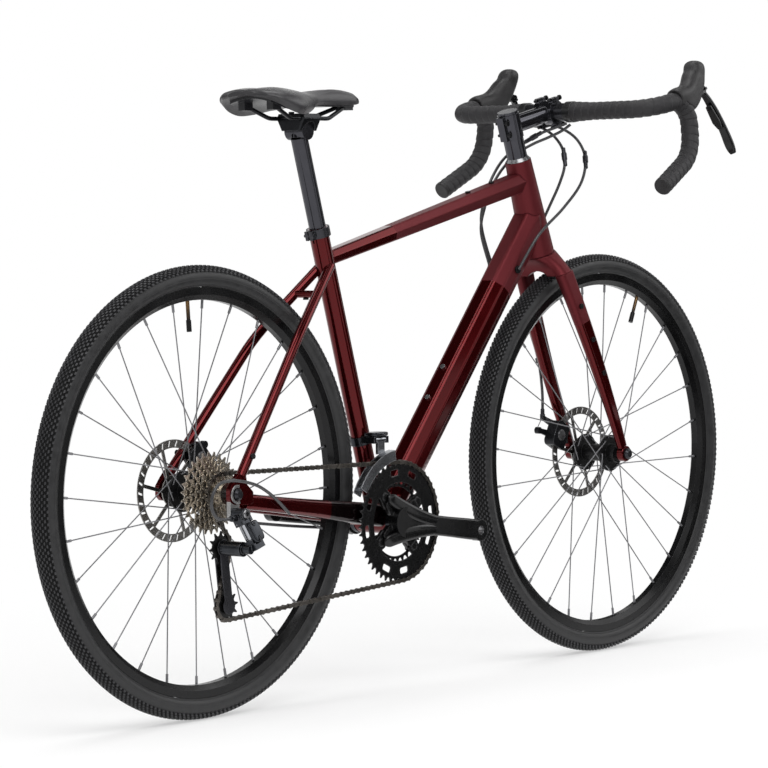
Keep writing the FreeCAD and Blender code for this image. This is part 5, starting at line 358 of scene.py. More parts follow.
NODE_MATERIALS = {
    "head_tube": "matte", "top_tube": "top", "down_tube": "down", "seat_tube": "gloss",
    "bottom_bracket_shell": "gloss", "rear_stays": "stays", "rear_dropouts": "gloss", "seat_clamp": "satin",
    "frame_bearings": "grey", "frame_fittings": "bolt", "rear_caliper": "dark_grey", "rear_axle": "satin",
    "front_derailleur_clamp": "grey", "rear_derailleur_bracket": "grey", "rear_cables": "housing",
    "steering_cables": "housing", "chain": "chain", "fork_crown": "matte", "fork_blades": "blades",
    "headset_spacers": "post", "stem": "post", "stem_faceplate": "satin", "handlebar": "satin",
    "bar_tape": "tape", "brake_hoods": "hood", "front_caliper": "dark_grey", "front_axle": "satin",
    "front_brake_cable": "housing", "fork_bolts": "black_bolt", "brake_lever_right": "gloss_black",
    "brake_lever_left": "gloss_black", "shift_lever_right": "alloy", "shift_lever_left": "alloy",
    "front_brake_arm": "dark_grey", "rear_brake_arm": "dark_grey", "front_tyre": "tyre", "rear_tyre": "tyre",
    "front_rim": "rim", "rear_rim": "rim", "front_spokes": "spoke", "rear_spokes": "spoke",
    "front_hub": "alloy", "rear_hub": "alloy", "front_rotor": "rotor", "rear_rotor": "rotor",
    "cassette": "cassette", "crank_arms": "crank", "chainrings": "crank", "front_derailleur_cage": "changer",
    "rear_derailleur_outer_link": "grey", "rear_derailleur_inner_link": "changer",
    "rear_derailleur_knuckle": "grey", "rear_derailleur_cage": "satin", "guide_pulley": "alloy",
    "tension_pulley": "alloy", "seatpost": "post", "saddle_clamp": "dark_grey", "saddle_rails": "dark_grey",
    "saddle_base": "shell", "saddle_cover": "saddle",
}


for name, node in NODES.items():
    node.data.materials.clear()
    node.data.materials.append(MATERIALS[NODE_MATERIALS[name]])


def repaint(node, materials, choose):
    """Gives faces of a solid other materials, by their middle and normal; choose returns a slot or None."""
    mesh = NODES[node].data
    base = len(mesh.materials)
    for material in materials:
        mesh.materials.append(MATERIALS[material])
    for face in mesh.polygons:
        slot = choose(face.center, face.normal)
        if slot is not None:
            face.material_index = base + slot


def from_axle(point, axle):
    return math.hypot(point.x - axle.x, point.z - axle.z)


def fitting(point):
    """Black fittings on the top tube, the stays and the cable ports; the bottle bolts stay bright."""
    port = abs(abs(point.y) - 0.0275) < 0.004 and point.x > 0.2
    return point.z > 0.735 or point.x < -0.24 or port


VALVE_SEAT, VALVE_CAP = 0.2955, 0.2845
PEDAL_THREAD = 0.0076
# Face of the right hub, and the radius of the painted shade on it
HUB_FACE, HUB_SHADE = -0.0636, 0.0262


def valve(axle):
    """Brass stem and black cap of a valve, which stand inside the rim."""
    def choose(point, normal):
        reach = from_axle(point, axle)
        return None if reach > VALVE_SEAT else 0 if reach > VALVE_CAP else 1
    return choose


def crank_face(point, normal):
    """Bright pedal threads, and painted shade on the flat face of the right hub, where the real hub is
    recessed.
    """
    arm = CRANK_RUN * CRANK_LENGTH
    near = min(from_axle(point, BRACKET + arm), from_axle(point, BRACKET - arm))
    if near < PEDAL_THREAD:
        return 0
    # The flat face of the right hub is painted near-black: painted shade for its recess.
    hub_shade = point.y < HUB_FACE and from_axle(point, BRACKET) < HUB_SHADE and normal.y < -0.9
    return 1 if hub_shade else None


def where(test):
    """Chooser of the first added material, at the places that pass a test."""
    return lambda point, normal: 0 if test(point) else None


repaint("headset_spacers", ["bolt"], where(lambda point: (point - STEER_TOP).dot(STEER_RUN) < 0.0062))
repaint("frame_fittings", ["black_bolt"], where(fitting))
repaint("rear_rim", ["brass", "black_bolt"], valve(REAR_AXLE))
repaint("front_rim", ["brass", "black_bolt"], valve(FRONT_AXLE))
# Bright pedal threads, and painted shade on the right hub's flat face
repaint("crank_arms", ["bolt", "painted_shade"], crank_face)
repaint("rear_dropouts", ["steel"], where(lambda point: point.z < 0.336 and point.x < -0.5085))
repaint("front_caliper", ["bolt"], where(lambda point: point.y < 0.02995))
repaint("rear_caliper", ["bolt"], where(lambda point: point.y < 0.04615))


# Meshes
def smooth(mesh, degrees):
    mesh.shade_smooth()
    mesh.set_sharp_from_angle(angle=math.radians(degrees))


def turns(count):
    return [2 * math.pi * index / count for index in range(count)]


def circle(middle, side, across, radius, sides):
    """Points round a middle, in the plane of two square directions."""
    return [middle + side * (radius * math.cos(turn)) + across * (radius * math.sin(turn))
            for turn in turns(sides)]


def squared(value, power):
    """A sine or cosine, bent so that its circle becomes a soft square."""
    return math.copysign(abs(value) ** power, value)


class Form:
    """Vertices and faces of one piece, gathered from simple surfaces."""

    def __init__(self):
        self.points, self.faces, self.slots = [], [], []

    def add(self, points, faces, slot=0):
        base = len(self.points)
        self.points.extend(points)
        self.faces.extend([[base + index for index in face] for face in faces])
        self.slots.extend([slot] * len(faces))

    def rings(self, rings, slot=0, closed=False, caps=True, round_trip=True):
        """Skin over rings of equal length: closed joins the last to the first, round_trip the ends of each."""
        count = len(rings[0])
        points = [point for ring in rings for point in ring]
        faces = []
        last = len(rings) if closed else len(rings) - 1
        columns = count if round_trip else count - 1
        for row in range(last):
            for column in range(columns):
                first, second = row * count, (row + 1) % len(rings) * count
                after = (column + 1) % count
                faces.append([first + column, first + after, second + after, second + column])
        if caps and not closed:
            faces.append(list(range(count))[::-1])
            faces.append(list(range((len(rings) - 1) * count, len(rings) * count)))
        self.add(points, faces, slot)

    def tube(self, path, radius, sides, slot=0):
        """Round tube along points; radius may be a number or a list."""
        radii = radius if isinstance(radius, (list, tuple)) else [radius] * len(path)
        self.rings([circle(point, side, run.cross(side), size, sides)
                    for (point, run, side), size in zip(framed(path), radii)], slot)

    def turned(self, profile, centre, axis, sides, slot=0, caps=True, closed=False):
        """Lathed form: profile rows of distance along the axis and radius."""
        axis = Vector(axis).normalized()
        side = axis.orthogonal().normalized()
        across = axis.cross(side)
        self.rings([circle(centre + axis * along, side, across, radius, sides) for along, radius in profile],
                   slot, caps=caps, closed=closed)

    def block(self, centre, axes, halves):
        """Block with soft edges: axes are three square directions and halves its half sizes along them."""
        power, sides, rows = 0.45, 28, 14
        rings = []
        for row in range(1, rows):
            rise = math.pi * (row / rows - 0.5)
            level, reach = squared(math.sin(rise), power) * halves[2], squared(math.cos(rise), power)
            rings.append([centre + axes[0] * (squared(math.cos(turn), power) * reach * halves[0])
                          + axes[1] * (squared(math.sin(turn), power) * reach * halves[1]) + axes[2] * level
                          for turn in turns(sides)])
        self.rings(rings)

    def bolt(self, seat, axis, radius, height):
        """Round head in the first material, with a socket in its face in the second."""
        head = [(0, radius), (height * 0.7, radius), (height, radius * 0.86), (height, radius * 0.5)]
        socket = [(height, radius * 0.5), (height * 0.35, radius * 0.48), (height * 0.3, radius * 0.1)]
        self.turned(head, seat, axis, 24, caps=False)
        self.turned(socket, seat, axis, 6, slot=1)

    def make(self, name, materials, body=None, degrees=32):
        """Object of the gathered faces, which rides on a body where one is named."""
        mesh = bpy.data.meshes.new(name)
        mesh.from_pydata([tuple(point) for point in self.points], [], self.faces)
        obj = placed(name, mesh)
        for material in materials:
            mesh.materials.append(MATERIALS[material])
        mesh.polygons.foreach_set("material_index", self.slots)
        smooth(mesh, degrees)
        if body:
            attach(obj, body)
        return obj


def framed(path, side=None):
    """Point, direction and a side that turns least, along a path."""
    rows = []
    for index, point in enumerate(path):
        before, after = path[max(index - 1, 0)], path[min(index + 1, len(path) - 1)]
        run = (after - before).normalized()
        if side is None:
            side = run.orthogonal()
        side = (side - run * side.dot(run)).normalized()
        rows.append((point, run, side))
    return rows


def rounded_path(corners, radii, step):
    """Points along straight runs joined by arcs, evenly spaced."""
    path = [corners[0]]
    for before, here, after, radius in zip(corners, corners[1:], corners[2:], radii):
        come, go = (here - before).normalized(), (after - here).normalized()
        turn = come.angle(go)
        if turn < 0.001:
            continue
        reach = radius * math.tan(turn / 2)
        normal = (go - come * go.dot(come)).normalized()
        centre = here - come * reach + normal * radius
        for index in range(17):
            part = turn * index / 16
            path.append(centre - normal * (radius * math.cos(part)) + come * (radius * math.sin(part)))
    path.append(corners[-1])
    return spaced(path, step)


def spaced(path, step):
    """Evenly spaced points along a path."""
    lengths = [0.0]
    for first, second in zip(path, path[1:]):
        lengths.append(lengths[-1] + (second - first).length)
    count = max(2, round(lengths[-1] / step))
    points, row = [], 0
    for index in range(count + 1):
        want = lengths[-1] * index / count
        while row < len(path) - 2 and lengths[row + 1] < want:
            row += 1
        span = max(lengths[row + 1] - lengths[row], 1e-9)
        points.append(path[row].lerp(path[row + 1], min(1.0, (want - lengths[row]) / span)))
    return points


def curve(a, b, c, d, t):
    """Point at a share t of the way from b to c, on a smooth line that also goes through a and d."""
    return 0.5 * ((2 * b) + (c - a) * t + (2 * a - 5 * b + 4 * c - d) * t * t
                  + (3 * b - a - 3 * c + d) * t * t * t)


def flowing(points, step, parts=12):
    """Smooth cable line through its route points."""
    rows = [points[0] * 2 - points[1], *points, points[-1] * 2 - points[-2]]
    path = [curve(*four, index / parts) for four in zip(rows, rows[1:], rows[2:], rows[3:])
            for index in range(parts)]
    path.append(points[-1])
    return spaced(path, step)


def route(*rows):
    """Points given in millimetres."""
    return [Vector(row) / 1000 for row in rows]


# Tyres with moulded blocks: each band has its lean from the middle and its half width in degrees, then its
# blocks' share of the pitch, their height, and their offset in pitches
TYRE_RING, TYRE_SECTION, TYRE_WALL = 0.331, 0.0181, 0.0025
TYRE_REACH = 138
TYRE_SEGMENTS = 192
TREAD_BLOCKS = 232
TREAD_BANDS = [(0, 4.6, 0.6, 0.0018, 0), (11.5, 3.6, 0.56, 0.0018, 0.5), (22.5, 3.6, 0.56, 0.0018, 0),
               (33.5, 3.6, 0.56, 0.0019, 0.5), (45, 4.2, 0.58, 0.0026, 0), (57.5, 4.6, 0.52, 0.0033, 0.5)]
TREAD_TAPER = 0.82
SIDE_RIBS = ((128, 0.0006), (96, 0.0003))


def tyre(name, centre, body, node):
    section = TYRE_SECTION
    form = Form()

    def at(turn, lean, size):
        """Point by the turn of the wheel, the lean from the tread's middle and the section's size."""
        out = TYRE_RING + size * math.cos(lean)
        return centre + Vector((out * math.cos(turn), size * math.sin(lean), out * math.sin(turn)))

    leans = [math.radians(-TYRE_REACH + 2 * TYRE_REACH * index / 36) for index in range(37)]
    rows = []
    for turn in turns(TYRE_SEGMENTS):
        outer = [at(turn, lean, section + 0.0009 * max(0.0, abs(math.sin(lean)) - 0.4)) for lean in leans]
        inner = [at(turn, lean, section - TYRE_WALL) for lean in leans[::-3]]
        rows.append(outer + inner)
    form.rings(rows, closed=True)
    columns = len(rows[0])
    # The band of the carcass under the tread blocks is near-black rubber: painted shade in the gaps between
    # the blocks.
    form.slots = [1 if abs(index % columns - 17.5) < 8 else 0 for index in range(len(form.faces))]
    step = 2 * math.pi / TREAD_BLOCKS
    for lean, half, length, height, shift in TREAD_BANDS:
        for sign in ((1,) if lean == 0 else (1, -1)):
            for index in range(TREAD_BLOCKS):
                turn = (index + shift) * step
                wide, long = math.radians(half), step * length / 2
                skew = sign * step * 0.05 if lean else 0
                middle = math.radians(lean) * sign
                corners = [(-long + skew, -wide), (long + skew, -wide),
                           (long - skew, wide), (-long - skew, wide)]
                low = [at(turn + a, middle + b, section - 0.0003) for a, b in corners]
                high = [at(turn + a * TREAD_TAPER, middle + b * TREAD_TAPER, section + height)
                        for a, b in corners]
                form.add(low + high, [[4, 5, 6, 7], [0, 1, 5, 4], [1, 2, 6, 5], [2, 3, 7, 6], [3, 0, 4, 7]], 2)
    for lean, height in SIDE_RIBS:
        for sign in (1, -1):
            middle = math.radians(lean) * sign
            rib = [[at(turn, middle + math.radians(part), section + 0.0006 + height * (1 - abs(part) / 2.4))
                    for part in (-2.4, -0.8, 0.8, 2.4)] for turn in turns(TYRE_SEGMENTS)]
            form.rings(rib, closed=True, round_trip=False)
    made = form.make(name, ["tyre", "painted_shade", "tread"], body, 40)
    bm = bmesh.new()
    bm.from_mesh(made.data)
    bmesh.ops.recalc_face_normals(bm, faces=bm.faces)
    bm.to_mesh(made.data)
    bm.free()
    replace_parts(made, node)


tyre("front_tyre_tread", FRONT_AXLE, "front_wheel", "front_tyre")
tyre("rear_tyre_tread", REAR_AXLE, "rear_wheel", "rear_tyre")


# Wound bar tape, with a band at its inner end and a plug at its outer end
TAPE_STEP = 0.0007
TAPE_START = 60
TAPE_RADIUS = 0.0145
TAPE_WRAP = 0.0145
TAPE_LIFT, TAPE_LIP, TAPE_ROUND = 0.0009, 0.14, 0.0003
TAPE_BULGE, BULGE_END = 0.0027, 0.095
TAPE_SIDES = 48
BAND_LENGTH = 23
BAND_RADIUS = 0.01825
PLUG = [(0, 0.0152), (0.003, 0.0152), (0.0045, 0.0144), (0.005, 0.0132), (0.0044, 0.0095), (0.0044, 0.004)]


def bar_line(sign, step):
    """Middle line of one half of the bar."""
    corners = route((380.1, 0, 948.6), (384.1, 218 * sign, 949.6), (487.1, 218 * sign, 971.6),
                    (482.1, 229 * sign, 871.6), (383.1, 240 * sign, 818.6))
    return rounded_path(corners, [0.05, 0.038, 0.065], step)


def wound(name, sign):
    frames = framed(bar_line(sign, TAPE_STEP), UP)
    form = Form()
    rows = []
    for index, (point, run, side) in enumerate(frames):
        if index < TAPE_START:
            continue
        across = run.cross(side)
        bulge = min(max(1 - index * TAPE_STEP / BULGE_END, 0) * 2, 1)
        ring = []
        for turn in turns(TAPE_SIDES):
            share = ((index - TAPE_START) * TAPE_STEP / TAPE_WRAP - turn / (2 * math.pi) * sign) % 1.0
            lift = TAPE_LIFT * (share / (1 - TAPE_LIP) if share < 1 - TAPE_LIP else (1 - share) / TAPE_LIP)
            size = TAPE_RADIUS + TAPE_BULGE * bulge + lift + TAPE_ROUND * math.sin(math.pi * share)
            ring.append(point + side * (size * math.cos(turn)) + across * (size * math.sin(turn)))
        rows.append(ring)
    form.rings(rows)
    band = []
    for index in range(BAND_LENGTH):
        point, run, side = frames[TAPE_START - 2 + index]
        size = BAND_RADIUS - (0.0006 if index in (0, BAND_LENGTH - 1) else 0)
        band.append(circle(point, side, run.cross(side), size, TAPE_SIDES))
    form.rings(band, slot=1)
    end, run, _ = frames[-1]
    form.turned(PLUG, end, run, 40, slot=2)
    made = form.make(name, ["tape", "band", "hood"], "fork", 70)
    return made


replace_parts(wound("wound_tape_right", -1), "bar_tape")
wound("wound_tape_left", 1)


# Lever hoods, softened from their moulded form
def hood_skins():
    """Rubber skins made from the solids: remeshed fine and relaxed."""
    obj = placed("hood_skins", NODES["brake_hoods"].data.copy())
    remesh = obj.modifiers.new("remesh", "REMESH")
    remesh.mode = "VOXEL"
    remesh.voxel_size = 0.0014
    relax = obj.modifiers.new("relax", "SMOOTH")
    relax.factor, relax.iterations = 0.5, 6
    bpy.context.view_layer.update()
    depsgraph = bpy.context.evaluated_depsgraph_get()
    mesh = bpy.data.meshes.new_from_object(obj.evaluated_get(depsgraph))
    obj.modifiers.clear()
    obj.data = mesh
    mesh.materials.clear()
    mesh.materials.append(MATERIALS["hood"])
    smooth(mesh, 60)
    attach(obj, "fork")
    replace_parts(obj, "brake_hoods")


hood_skins()


# Padded saddle: each row has its share of the length, then its width, drop and depth as shares of these sizes
SADDLE_HALF_WIDTH = 0.073
SADDLE_DROP = 0.025
SADDLE_DEPTH = 0.025
SADDLE_ARCH = 0.0144
SADDLE_CHANNEL = 0.0028
SADDLE_ROWS = [(0, .41, .28, .36), (.018, .68, .16, .6), (.073, .9, .08, 1), (.147, .99, 0, 1.48),
               (.238, 1, .04, 1.68), (.33, .9, .14, 1.5), (.421, .71, .24, 1.16), (.513, .49, .22, .9),
               (.623, .36, .1, .94), (.733, .29, 0, 1.04), (.842, .26, .04, .96), (.934, .225, .2, .76),
               (.982, .15, .44, .44), (1, .07, .6, .2)]


def between(rows, share):
    """Smoothly interpolated row at a share of the length."""
    keys = [row[0] for row in rows]
    index = max(i for i, key in enumerate(keys) if key <= share + 1e-9)
    if index >= len(rows) - 1:
        return rows[-1][1:]
    before, first = rows[max(index - 1, 0)], rows[index]
    second, after = rows[index + 1], rows[min(index + 2, len(rows) - 1)]
    t = (share - first[0]) / (second[0] - first[0])
    made = []
    for a, b, c, d in zip(before[1:], first[1:], second[1:], after[1:]):
        m0, m1 = (c - a) / 2, (d - b) / 2
        made.append((2 * t ** 3 - 3 * t ** 2 + 1) * b + (t ** 3 - 2 * t ** 2 + t) * m0
                    + (-2 * t ** 3 + 3 * t ** 2) * c + (t ** 3 - t ** 2) * m1)
    return made


def through(points, count):
    """Evenly parted samples of a smooth line through points, without its last one."""
    rows = [points[0], *points, points[-1]]
    made = []
    for index in range(count):
        at = index / count * (len(points) - 1)
        row = int(at)
        made.append(curve(*rows[row:row + 4], at - row))
    return made


def saddle():
    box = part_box("saddle_cover")
    low, high = Vector(box[0]), Vector(box[1])
    length = high.x - low.x
    form = Form()
    rings = []
    for index in range(97):
        share = 0.5 - 0.5 * math.cos(math.pi * index / 96)
        wide, drop, depth = between(SADDLE_ROWS, share)
        half, tall, arch = wide * SADDLE_HALF_WIDTH, depth * SADDLE_DEPTH, wide * depth * SADDLE_ARCH
        top = high.z - 0.0002 - drop * SADDLE_DROP
        x = low.x + length * share
        floor = top - tall
        channel = SADDLE_CHANNEL * min(wide * 2, 1) * math.exp(-((share - 0.45) / 0.34) ** 4)
        side = [Vector((x, 0.9 * half, floor)), Vector((x, 0.995 * half, floor + 0.25 * tall)),
                Vector((x, 0.95 * half, floor + 0.52 * tall)), Vector((x, 0.8 * half, floor + 0.77 * tall)),
                Vector((x, 0.46 * half, top - 0.03 * tall)), Vector((x, 0.2 * half, top - 0.25 * channel)),
                Vector((x, 0, top - channel))]
        other = [Vector((x, -point.y, point.z)) for point in side[-2::-1]]
        ring = through(side + other, 60)
        for step in range(20):
            y = 0.9 * half * (step / 10 - 1)
            ring.append(Vector((x, y, floor + arch * (1 - (y / (0.9 * half)) ** 2))))
        rings.append(ring)
    form.rings(rings)
    made = form.make("saddle_cushion", ["saddle"], "saddle", 60)
    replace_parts(made, "saddle_cover")


saddle()


# Cable housings from the bar to the frame, and a brake adjuster that rides on the fork
ADJUSTER = [(-0.017, 0.0026), (-0.016, 0.0036), (-0.007, 0.0036), (-0.007, 0.0048), (0.005, 0.0048),
            (0.005, 0.0038), (0.016, 0.0036), (0.017, 0.0026)]


def brake_adjuster():
    form = Form()
    first, second = route((408, -10, 888), (402, -19, 856))
    form.turned(ADJUSTER, (first + second) / 2, second - first, 18)
    made = form.make("brake_adjuster", ["satin"], "fork")


brake_adjuster()


def steering_housings():
    front_shift = route((393, 44, 929), (408, 30, 930), (423, 4, 922), (431, -24, 901), (429, -42, 868),
                        (405, -50, 826), (355, -49, 783), (292, -44, 738), (254.2, -29, 679.5))
    rear_shift = route((373, -44, 929), (367, -24, 922), (357, 2, 912), (342, 25, 896), (312, 44, 871),
                       (286, 51, 838), (262, 51, 797), (250, 47, 752), (259.6, 29, 675))
    rear_brake = route((384, -44, 927), (379, -28, 916), (366, -8, 905), (351, 11, 895), (332, 27, 881),
                       (303, 38, 856), (276, 43, 824), (254, 43, 786), (242, 42, 744), (248.8, 29, 684))
    form = Form()
    for points, adjuster in ((front_shift, 0.325), (rear_shift, 0.19), (rear_brake, None)):
        path = flowing(points, 0.004)
        form.tube(path, 0.0025, 14)
        if adjuster:
            point, run, _ = framed(path)[int(len(path) * adjuster)]
            form.turned(ADJUSTER, point, run, 18, slot=1)
    made = form.make("steering_housings", ["housing", "satin"])
    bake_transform(made)
    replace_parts(made, "steering_cables")


steering_housings()


# Chain split into runs by place; the main run rides on the frame and the run in the cage on the changer's cage
def islands(mesh):
    """Separate shells of a mesh as lists of face numbers."""
    parent = list(range(len(mesh.vertices)))

    def root(index):
        while parent[index] != index:
            parent[index] = parent[parent[index]]
            index = parent[index]
        return index

    for face in mesh.polygons:
        first = root(face.vertices[0])
        for vertex in face.vertices[1:]:
            parent[root(vertex)] = first
    shells = {}
    for face in mesh.polygons:
        shells.setdefault(root(face.vertices[0]), []).append(face.index)
    return list(shells.values())


def chain_run(place):
    """Name of the run that a link belongs to, by the place of its middle."""
    if -0.518 < place.x < -0.465 and place.z < 0.166:
        return "leave"
    if place.x < -0.47 and place.z < 0.232:
        return "cage"
    if place.x < -0.47 and place.z < 0.276:
        return "guide"
    if place.x < -0.48 and place.z < 0.318:
        return "drop"
    if place.z < 0.262 and place.x > -0.48 and place.z < 0.16 + (place.x + 0.5) * 0.2:
        return "near" if place.x < -0.3 else "far"
    if -0.47 < place.x < -0.103 and place.z > 0.33:
        return "top" if place.x < -0.152 else "lead"
    return "main"


def chain():
    mesh = NODES["chain"].data
    runs = {key: Form() for key in ("main", "top", "lead", "drop", "guide", "cage", "leave", "near", "far")}
    for faces in islands(mesh):
        used = sorted({vertex for index in faces for vertex in mesh.polygons[index].vertices})
        points = [mesh.vertices[vertex].co.copy() for vertex in used]
        middle = sum(points, Vector()) / len(points)
        place = {vertex: index for index, vertex in enumerate(used)}
        shell = [[place[vertex] for vertex in mesh.polygons[index].vertices] for index in faces]
        runs[chain_run(middle)].add(points, shell)
    pieces = {}
    for key, form in runs.items():
        pieces[key] = form.make("chain_" + key, ["chain"], degrees=28)
    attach(pieces["main"], "frame")
    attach(pieces["cage"], "changer_cage")
    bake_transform(pieces["top"])
    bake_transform(pieces["lead"])
    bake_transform(pieces["drop"])
    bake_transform(pieces["guide"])
    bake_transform(pieces["leave"])
    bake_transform(pieces["near"])
    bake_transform(pieces["far"])
    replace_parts(pieces["main"], "chain")


chain()


# Rounded covers and bolts of the changers
def changer_covers():
    # Directions of the changer's travel, of its link, and of the link's pins
    slope, lean = math.radians(20), math.radians(16)
    shift = Vector((0, math.cos(slope), -math.sin(slope)))
    link = Vector((math.sin(lean), -math.cos(lean) * math.sin(slope), -math.cos(lean) * math.cos(slope)))
    pins = link.cross(shift)
    upper = route((-516.1, -99.2, 312.4))[0]
    cover = Form()
    cover.block(upper + link * 0.0205 - shift * 0.0078, (pins, shift, link), (0.0125, 0.003, 0.0165))
    for along in (0.0085, 0.0325):
        cover.bolt(upper + link * along - shift * 0.0104, -shift, 0.0038, 0.0016)
    cover.make("changer_link_cover", ["grey", "black_bolt"], "outer_link")
    mount = Form()
    mount.bolt(route((-520, -102, 323))[0], -LEFT, 0.0075, 0.004)
    mount.make("changer_mount_bolt", ["bolt", "black_bolt"], "frame")
    front = Form()
    front.block(route((-127, -30, 420.5))[0], (Vector((1, 0, 0)), LEFT, UP), (0.0195, 0.0135, 0.0038))
    front.bolt(route((-122, -43, 420))[0], -LEFT, 0.0036, 0.0024)
    front.make("front_changer_cover", ["grey", "bolt"], "frame")


changer_covers()


# Eyes of the fork, the bright hanger, and the housing stops and wires of both brakes
EYE = [(0.0508, 0.0098), (0.0508, 0.0128), (0.0518, 0.0138), (0.0626, 0.0138), (0.0636, 0.0128),
       (0.0636, 0.0098)]
HANGER_SECTION = [(0.0104, -0.0792), (0.0150, -0.0792), (0.0150, -0.0806), (0.0144, -0.0812),
                  (0.0110, -0.0812), (0.0104, -0.0806)]
BARREL = [(-0.007, 0.003), (-0.006, 0.0046), (0.004, 0.0046), (0.005, 0.0036), (0.013, 0.0036),
          (0.014, 0.0027)]


def fork_eyes():
    form = Form()
    for sign in (1, -1):
        form.turned(EYE, FRONT_AXLE, LEFT * sign, 40, closed=True)
    form.make("fork_eyes", ["gloss"], "fork")


def hanger():
    form = Form()
    rings = []
    for index in range(33):
        turn = math.radians(75 + 215 * index / 32)
        out = Vector((math.cos(turn), 0, math.sin(turn)))
        rings.append([REAR_AXLE + out * reach + LEFT * level for reach, level in HANGER_SECTION])
    form.rings(rings)
    form.make("hanger_insert", ["steel"], "frame")


def brake_stop(name, body, arm, points, end, pull):
    """Arm of a caliper that holds the housing's end in a barrel, and the wire from there to the brake arm."""
    form = Form()
    path = flowing(points, 0.002)
    form.tube(path, [0.0062 - 0.0022 * index / (len(path) - 1) for index in range(len(path))], 16)
    form.turned(BARREL, end, pull, 20, slot=1)
    form.make(name + "_stop", ["dark_grey", "satin"], body)
    wire = Form()
    wire.tube(spaced([end, arm[1]], 0.004), 0.0008, 8)
    made = wire.make(name + "_wire", ["spoke"])
    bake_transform(made)


fork_eyes()
hanger()
brake_stop("front_brake", "fork", ("front_arm", Vector((0.411, 0.058, 0.393))),
           route((444, 46, 404), (442, 58, 410), (446, 69.5, 415)), Vector((0.446, 0.07, 0.416)), UP)
brake_stop("rear_brake", "frame", ("rear_arm", Vector((-0.4255, 0.073, 0.416))),
           route((-450, 60, 384), (-444, 68, 378), (-440.2, 77, 371)), Vector((-0.4402, 0.078, 0.370)), -UP)


# Shoulders of the right crank that sweep into the spider
def crank_shoulders():
    rise = Vector((-CRANK_RUN.z, 0, CRANK_RUN.x))
    form = Form()
    for sign in (1, -1):
        ends = [BRACKET + CRANK_RUN * along + rise * (sign * across) + LEFT * level
                for along, across, level in ((0.068, 0.0075, -0.0647), (0.012, 0.011, -0.0638),
                                             (-0.0385, 0.0385, -0.0515))]
        rings = []
        for index in range(33):
            share = index / 32
            point = ends[0] * (1 - share) ** 2 + ends[1] * (2 * share * (1 - share)) + ends[2] * share ** 2
            run = (ends[1] - ends[0]).lerp(ends[2] - ends[1], share).normalized()
            side = run.cross(LEFT).normalized()
            round_end = min(1.0, math.sqrt(max(0.0, 1 - ((share - 0.9) / 0.1) ** 2))) if share > 0.9 else 1.0
            wide = (0.0095 + 0.002 * math.sin(math.pi * share)) * max(round_end, 0.2)
            thick = (0.0067 - 0.0022 * share) * max(round_end, 0.3)
            rings.append([point + side * (wide * squared(math.cos(turn), 0.6))
                          + LEFT * (thick * squared(math.sin(turn), 0.7)) for turn in turns(28)])
        form.rings(rings)
    form.make("crank_shoulders", ["crank"], "crank")


crank_shoulders()


# Camera, floor and light
PICTURE_WIDTH = 768
FOCAL_LENGTH = 3430.4
SENSOR_WIDTH = 36.0
FADE_START, FADE_END, NEAR_WHITE = 0.7, 1.5, 0.45
SOFT_LIGHT = 0.55


def aimed(obj, place, aim):
    """Stands a card or a lamp at a place and turns its face to another."""
    obj.location = place
    obj.rotation_euler = (Vector(aim) - Vector(place)).to_track_quat("-Z", "Y").to_euler()


def card(name, width, height):
    """Flat rectangle about the origin."""
    mesh = bpy.data.meshes.new(name)
    w, h = width / 2, height / 2
    mesh.from_pydata([(-w, -h, 0), (w, -h, 0), (w, h, 0), (-w, h, 0)], [], [(0, 1, 2, 3)])
    return placed(name, mesh)


def camera():
    yaw, pitch, roll = math.radians(49.79), math.radians(2.80), math.radians(0.67)
    forward = Vector((math.cos(pitch) * math.sin(yaw), math.cos(pitch) * math.cos(yaw), -math.sin(pitch)))
    right = Vector((math.cos(yaw), -math.sin(yaw), 0))
    down = forward.cross(right)
    across = right * math.cos(roll) + down * math.sin(roll)
    below = down * math.cos(roll) - right * math.sin(roll)
    data = bpy.data.cameras.new("camera")
    data.sensor_fit = "HORIZONTAL"
    data.sensor_width = SENSOR_WIDTH
    data.lens = FOCAL_LENGTH / PICTURE_WIDTH * SENSOR_WIDTH
    data.clip_end = 100
    obj = placed("camera", data)
    place = Matrix((across, -below, -forward)).transposed().to_4x4()
    place.translation = Vector((-4.358, -3.625, 0.773))
    obj.matrix_world = place
    bpy.context.scene.camera = obj


def floor():
    """Pale floor that keeps the shadow near the part and fades to plain white away from it."""
    obj = card("floor", 60.0, 60.0)
    tree = Tree("floor")
    tree.set(Base_Color=(0.95, 0.95, 0.95), Roughness=0.9, Specular_IOR_Level=0.0)
    length = tree.add("ShaderNodeVectorMath", operation="LENGTH")
    tree.join(tree.place, length.inputs[0])
    far = tree.add("ShaderNodeMapRange", interpolation_type="SMOOTHSTEP")
    far.inputs["From Min"].default_value = FADE_START
    far.inputs["From Max"].default_value = FADE_END
    far.inputs["To Min"].default_value = NEAR_WHITE
    tree.join(length.outputs["Value"], far.inputs["Value"])
    white = tree.add("ShaderNodeEmission")
    mixed = tree.add("ShaderNodeMixShader")
    tree.join(far.outputs["Result"], mixed.inputs["Fac"])
    tree.join(tree.shader.outputs["BSDF"], mixed.inputs[1])
    tree.join(white.outputs["Emission"], mixed.inputs[2])
    tree.join(mixed.outputs["Shader"], tree.nodes["Material Output"].inputs["Surface"])
    obj.data.materials.append(tree.material)


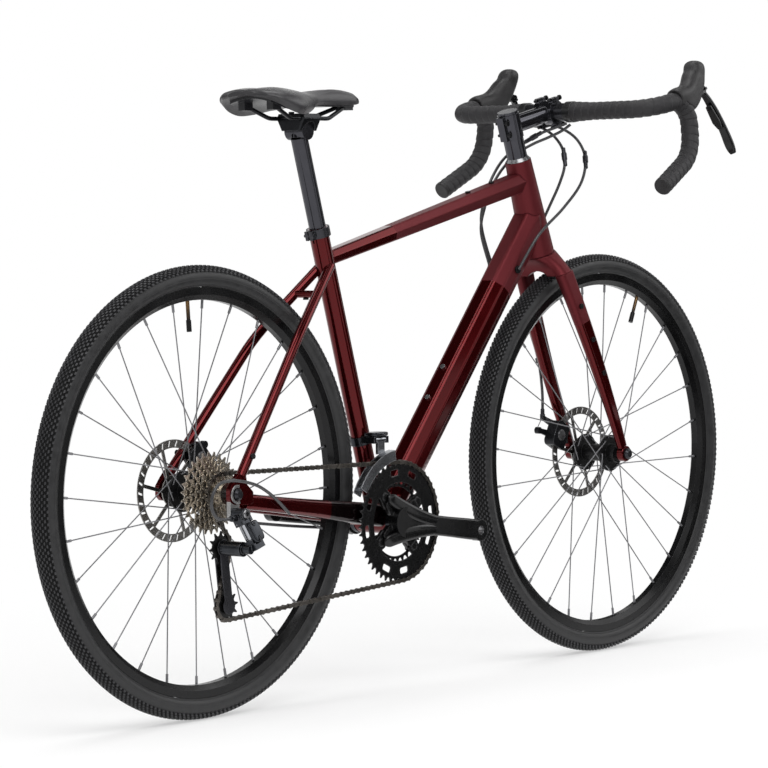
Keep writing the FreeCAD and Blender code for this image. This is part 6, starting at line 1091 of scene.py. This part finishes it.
def dark_card(name, place, aim, width, height):
    """Dark studio card that only reflections show."""
    obj = card(name, width, height)
    aimed(obj, place, aim)
    tree = Tree(name)
    tree.set(Base_Color=(0.01, 0.01, 0.01), Roughness=1.0, Specular_IOR_Level=0.0)
    obj.data.materials.append(tree.material)
    for ray in ("camera", "diffuse", "transmission", "shadow", "volume_scatter"):
        setattr(obj, "visible_" + ray, False)


def lamp(name, place, aim, size, power):
    data = bpy.data.lights.new(name, "AREA")
    data.shape = "RECTANGLE"
    data.size, data.size_y = size
    data.energy = power
    obj = placed(name, data)
    aimed(obj, place, aim)


def world():
    """White surroundings that light soft surfaces less than they show behind the part and in reflections."""
    made = bpy.data.worlds.new("studio")
    bpy.context.scene.world = made
    made.use_nodes = True
    nodes, links = made.node_tree.nodes, made.node_tree.links
    back = nodes["Background"]
    back.inputs["Color"].default_value = (1, 1, 1, 1)
    rays = nodes.new("ShaderNodeLightPath")
    seen = rays.outputs["Is Camera Ray"]
    for kind in ("Is Glossy Ray", "Is Transmission Ray"):
        either = nodes.new("ShaderNodeMath")
        either.operation = "MAXIMUM"
        links.new(seen, either.inputs[0])
        links.new(rays.outputs[kind], either.inputs[1])
        seen = either.outputs["Value"]
    level = nodes.new("ShaderNodeMapRange")
    level.inputs["To Min"].default_value = SOFT_LIGHT
    level.inputs["To Max"].default_value = 1.0
    links.new(seen, level.inputs["Value"])
    links.new(level.outputs["Result"], back.inputs["Strength"])


camera()
floor()
lamp("key", (-1.6, -2.6, 3.6), (0, 0, 0.5), (3.0, 3.0), 80)
lamp("fill", (3.2, -2.4, 2.6), (0, 0, 0.5), (2.0, 3.0), 36)
lamp("top", (0.0, 0.6, 4.2), (0, 0, 0.4), (4.0, 2.0), 60)
CARDS = 7
for index in range(CARDS):
    turn = math.radians(18 + index * 360 / CARDS)
    dark_card("card_%d" % index, (5.5 * math.cos(turn), 5.5 * math.sin(turn), 1.5), (0, 0, 1.5), 3.9, 2.7)
for index, (middle, width) in enumerate(((-4.2, 3.4), (-0.4, 2.6), (3.6, 3.6))):
    dark_card("ceiling_%d" % index, (0, middle, 5.0), (0, middle, 0), 12.0, width)
dark_card("apron", (2.8, -2.4, 0.003), (2.8, -2.4, 1.0), 5.0, 4.0)
world()
bpy.context.scene.view_settings.view_transform = "Standard"
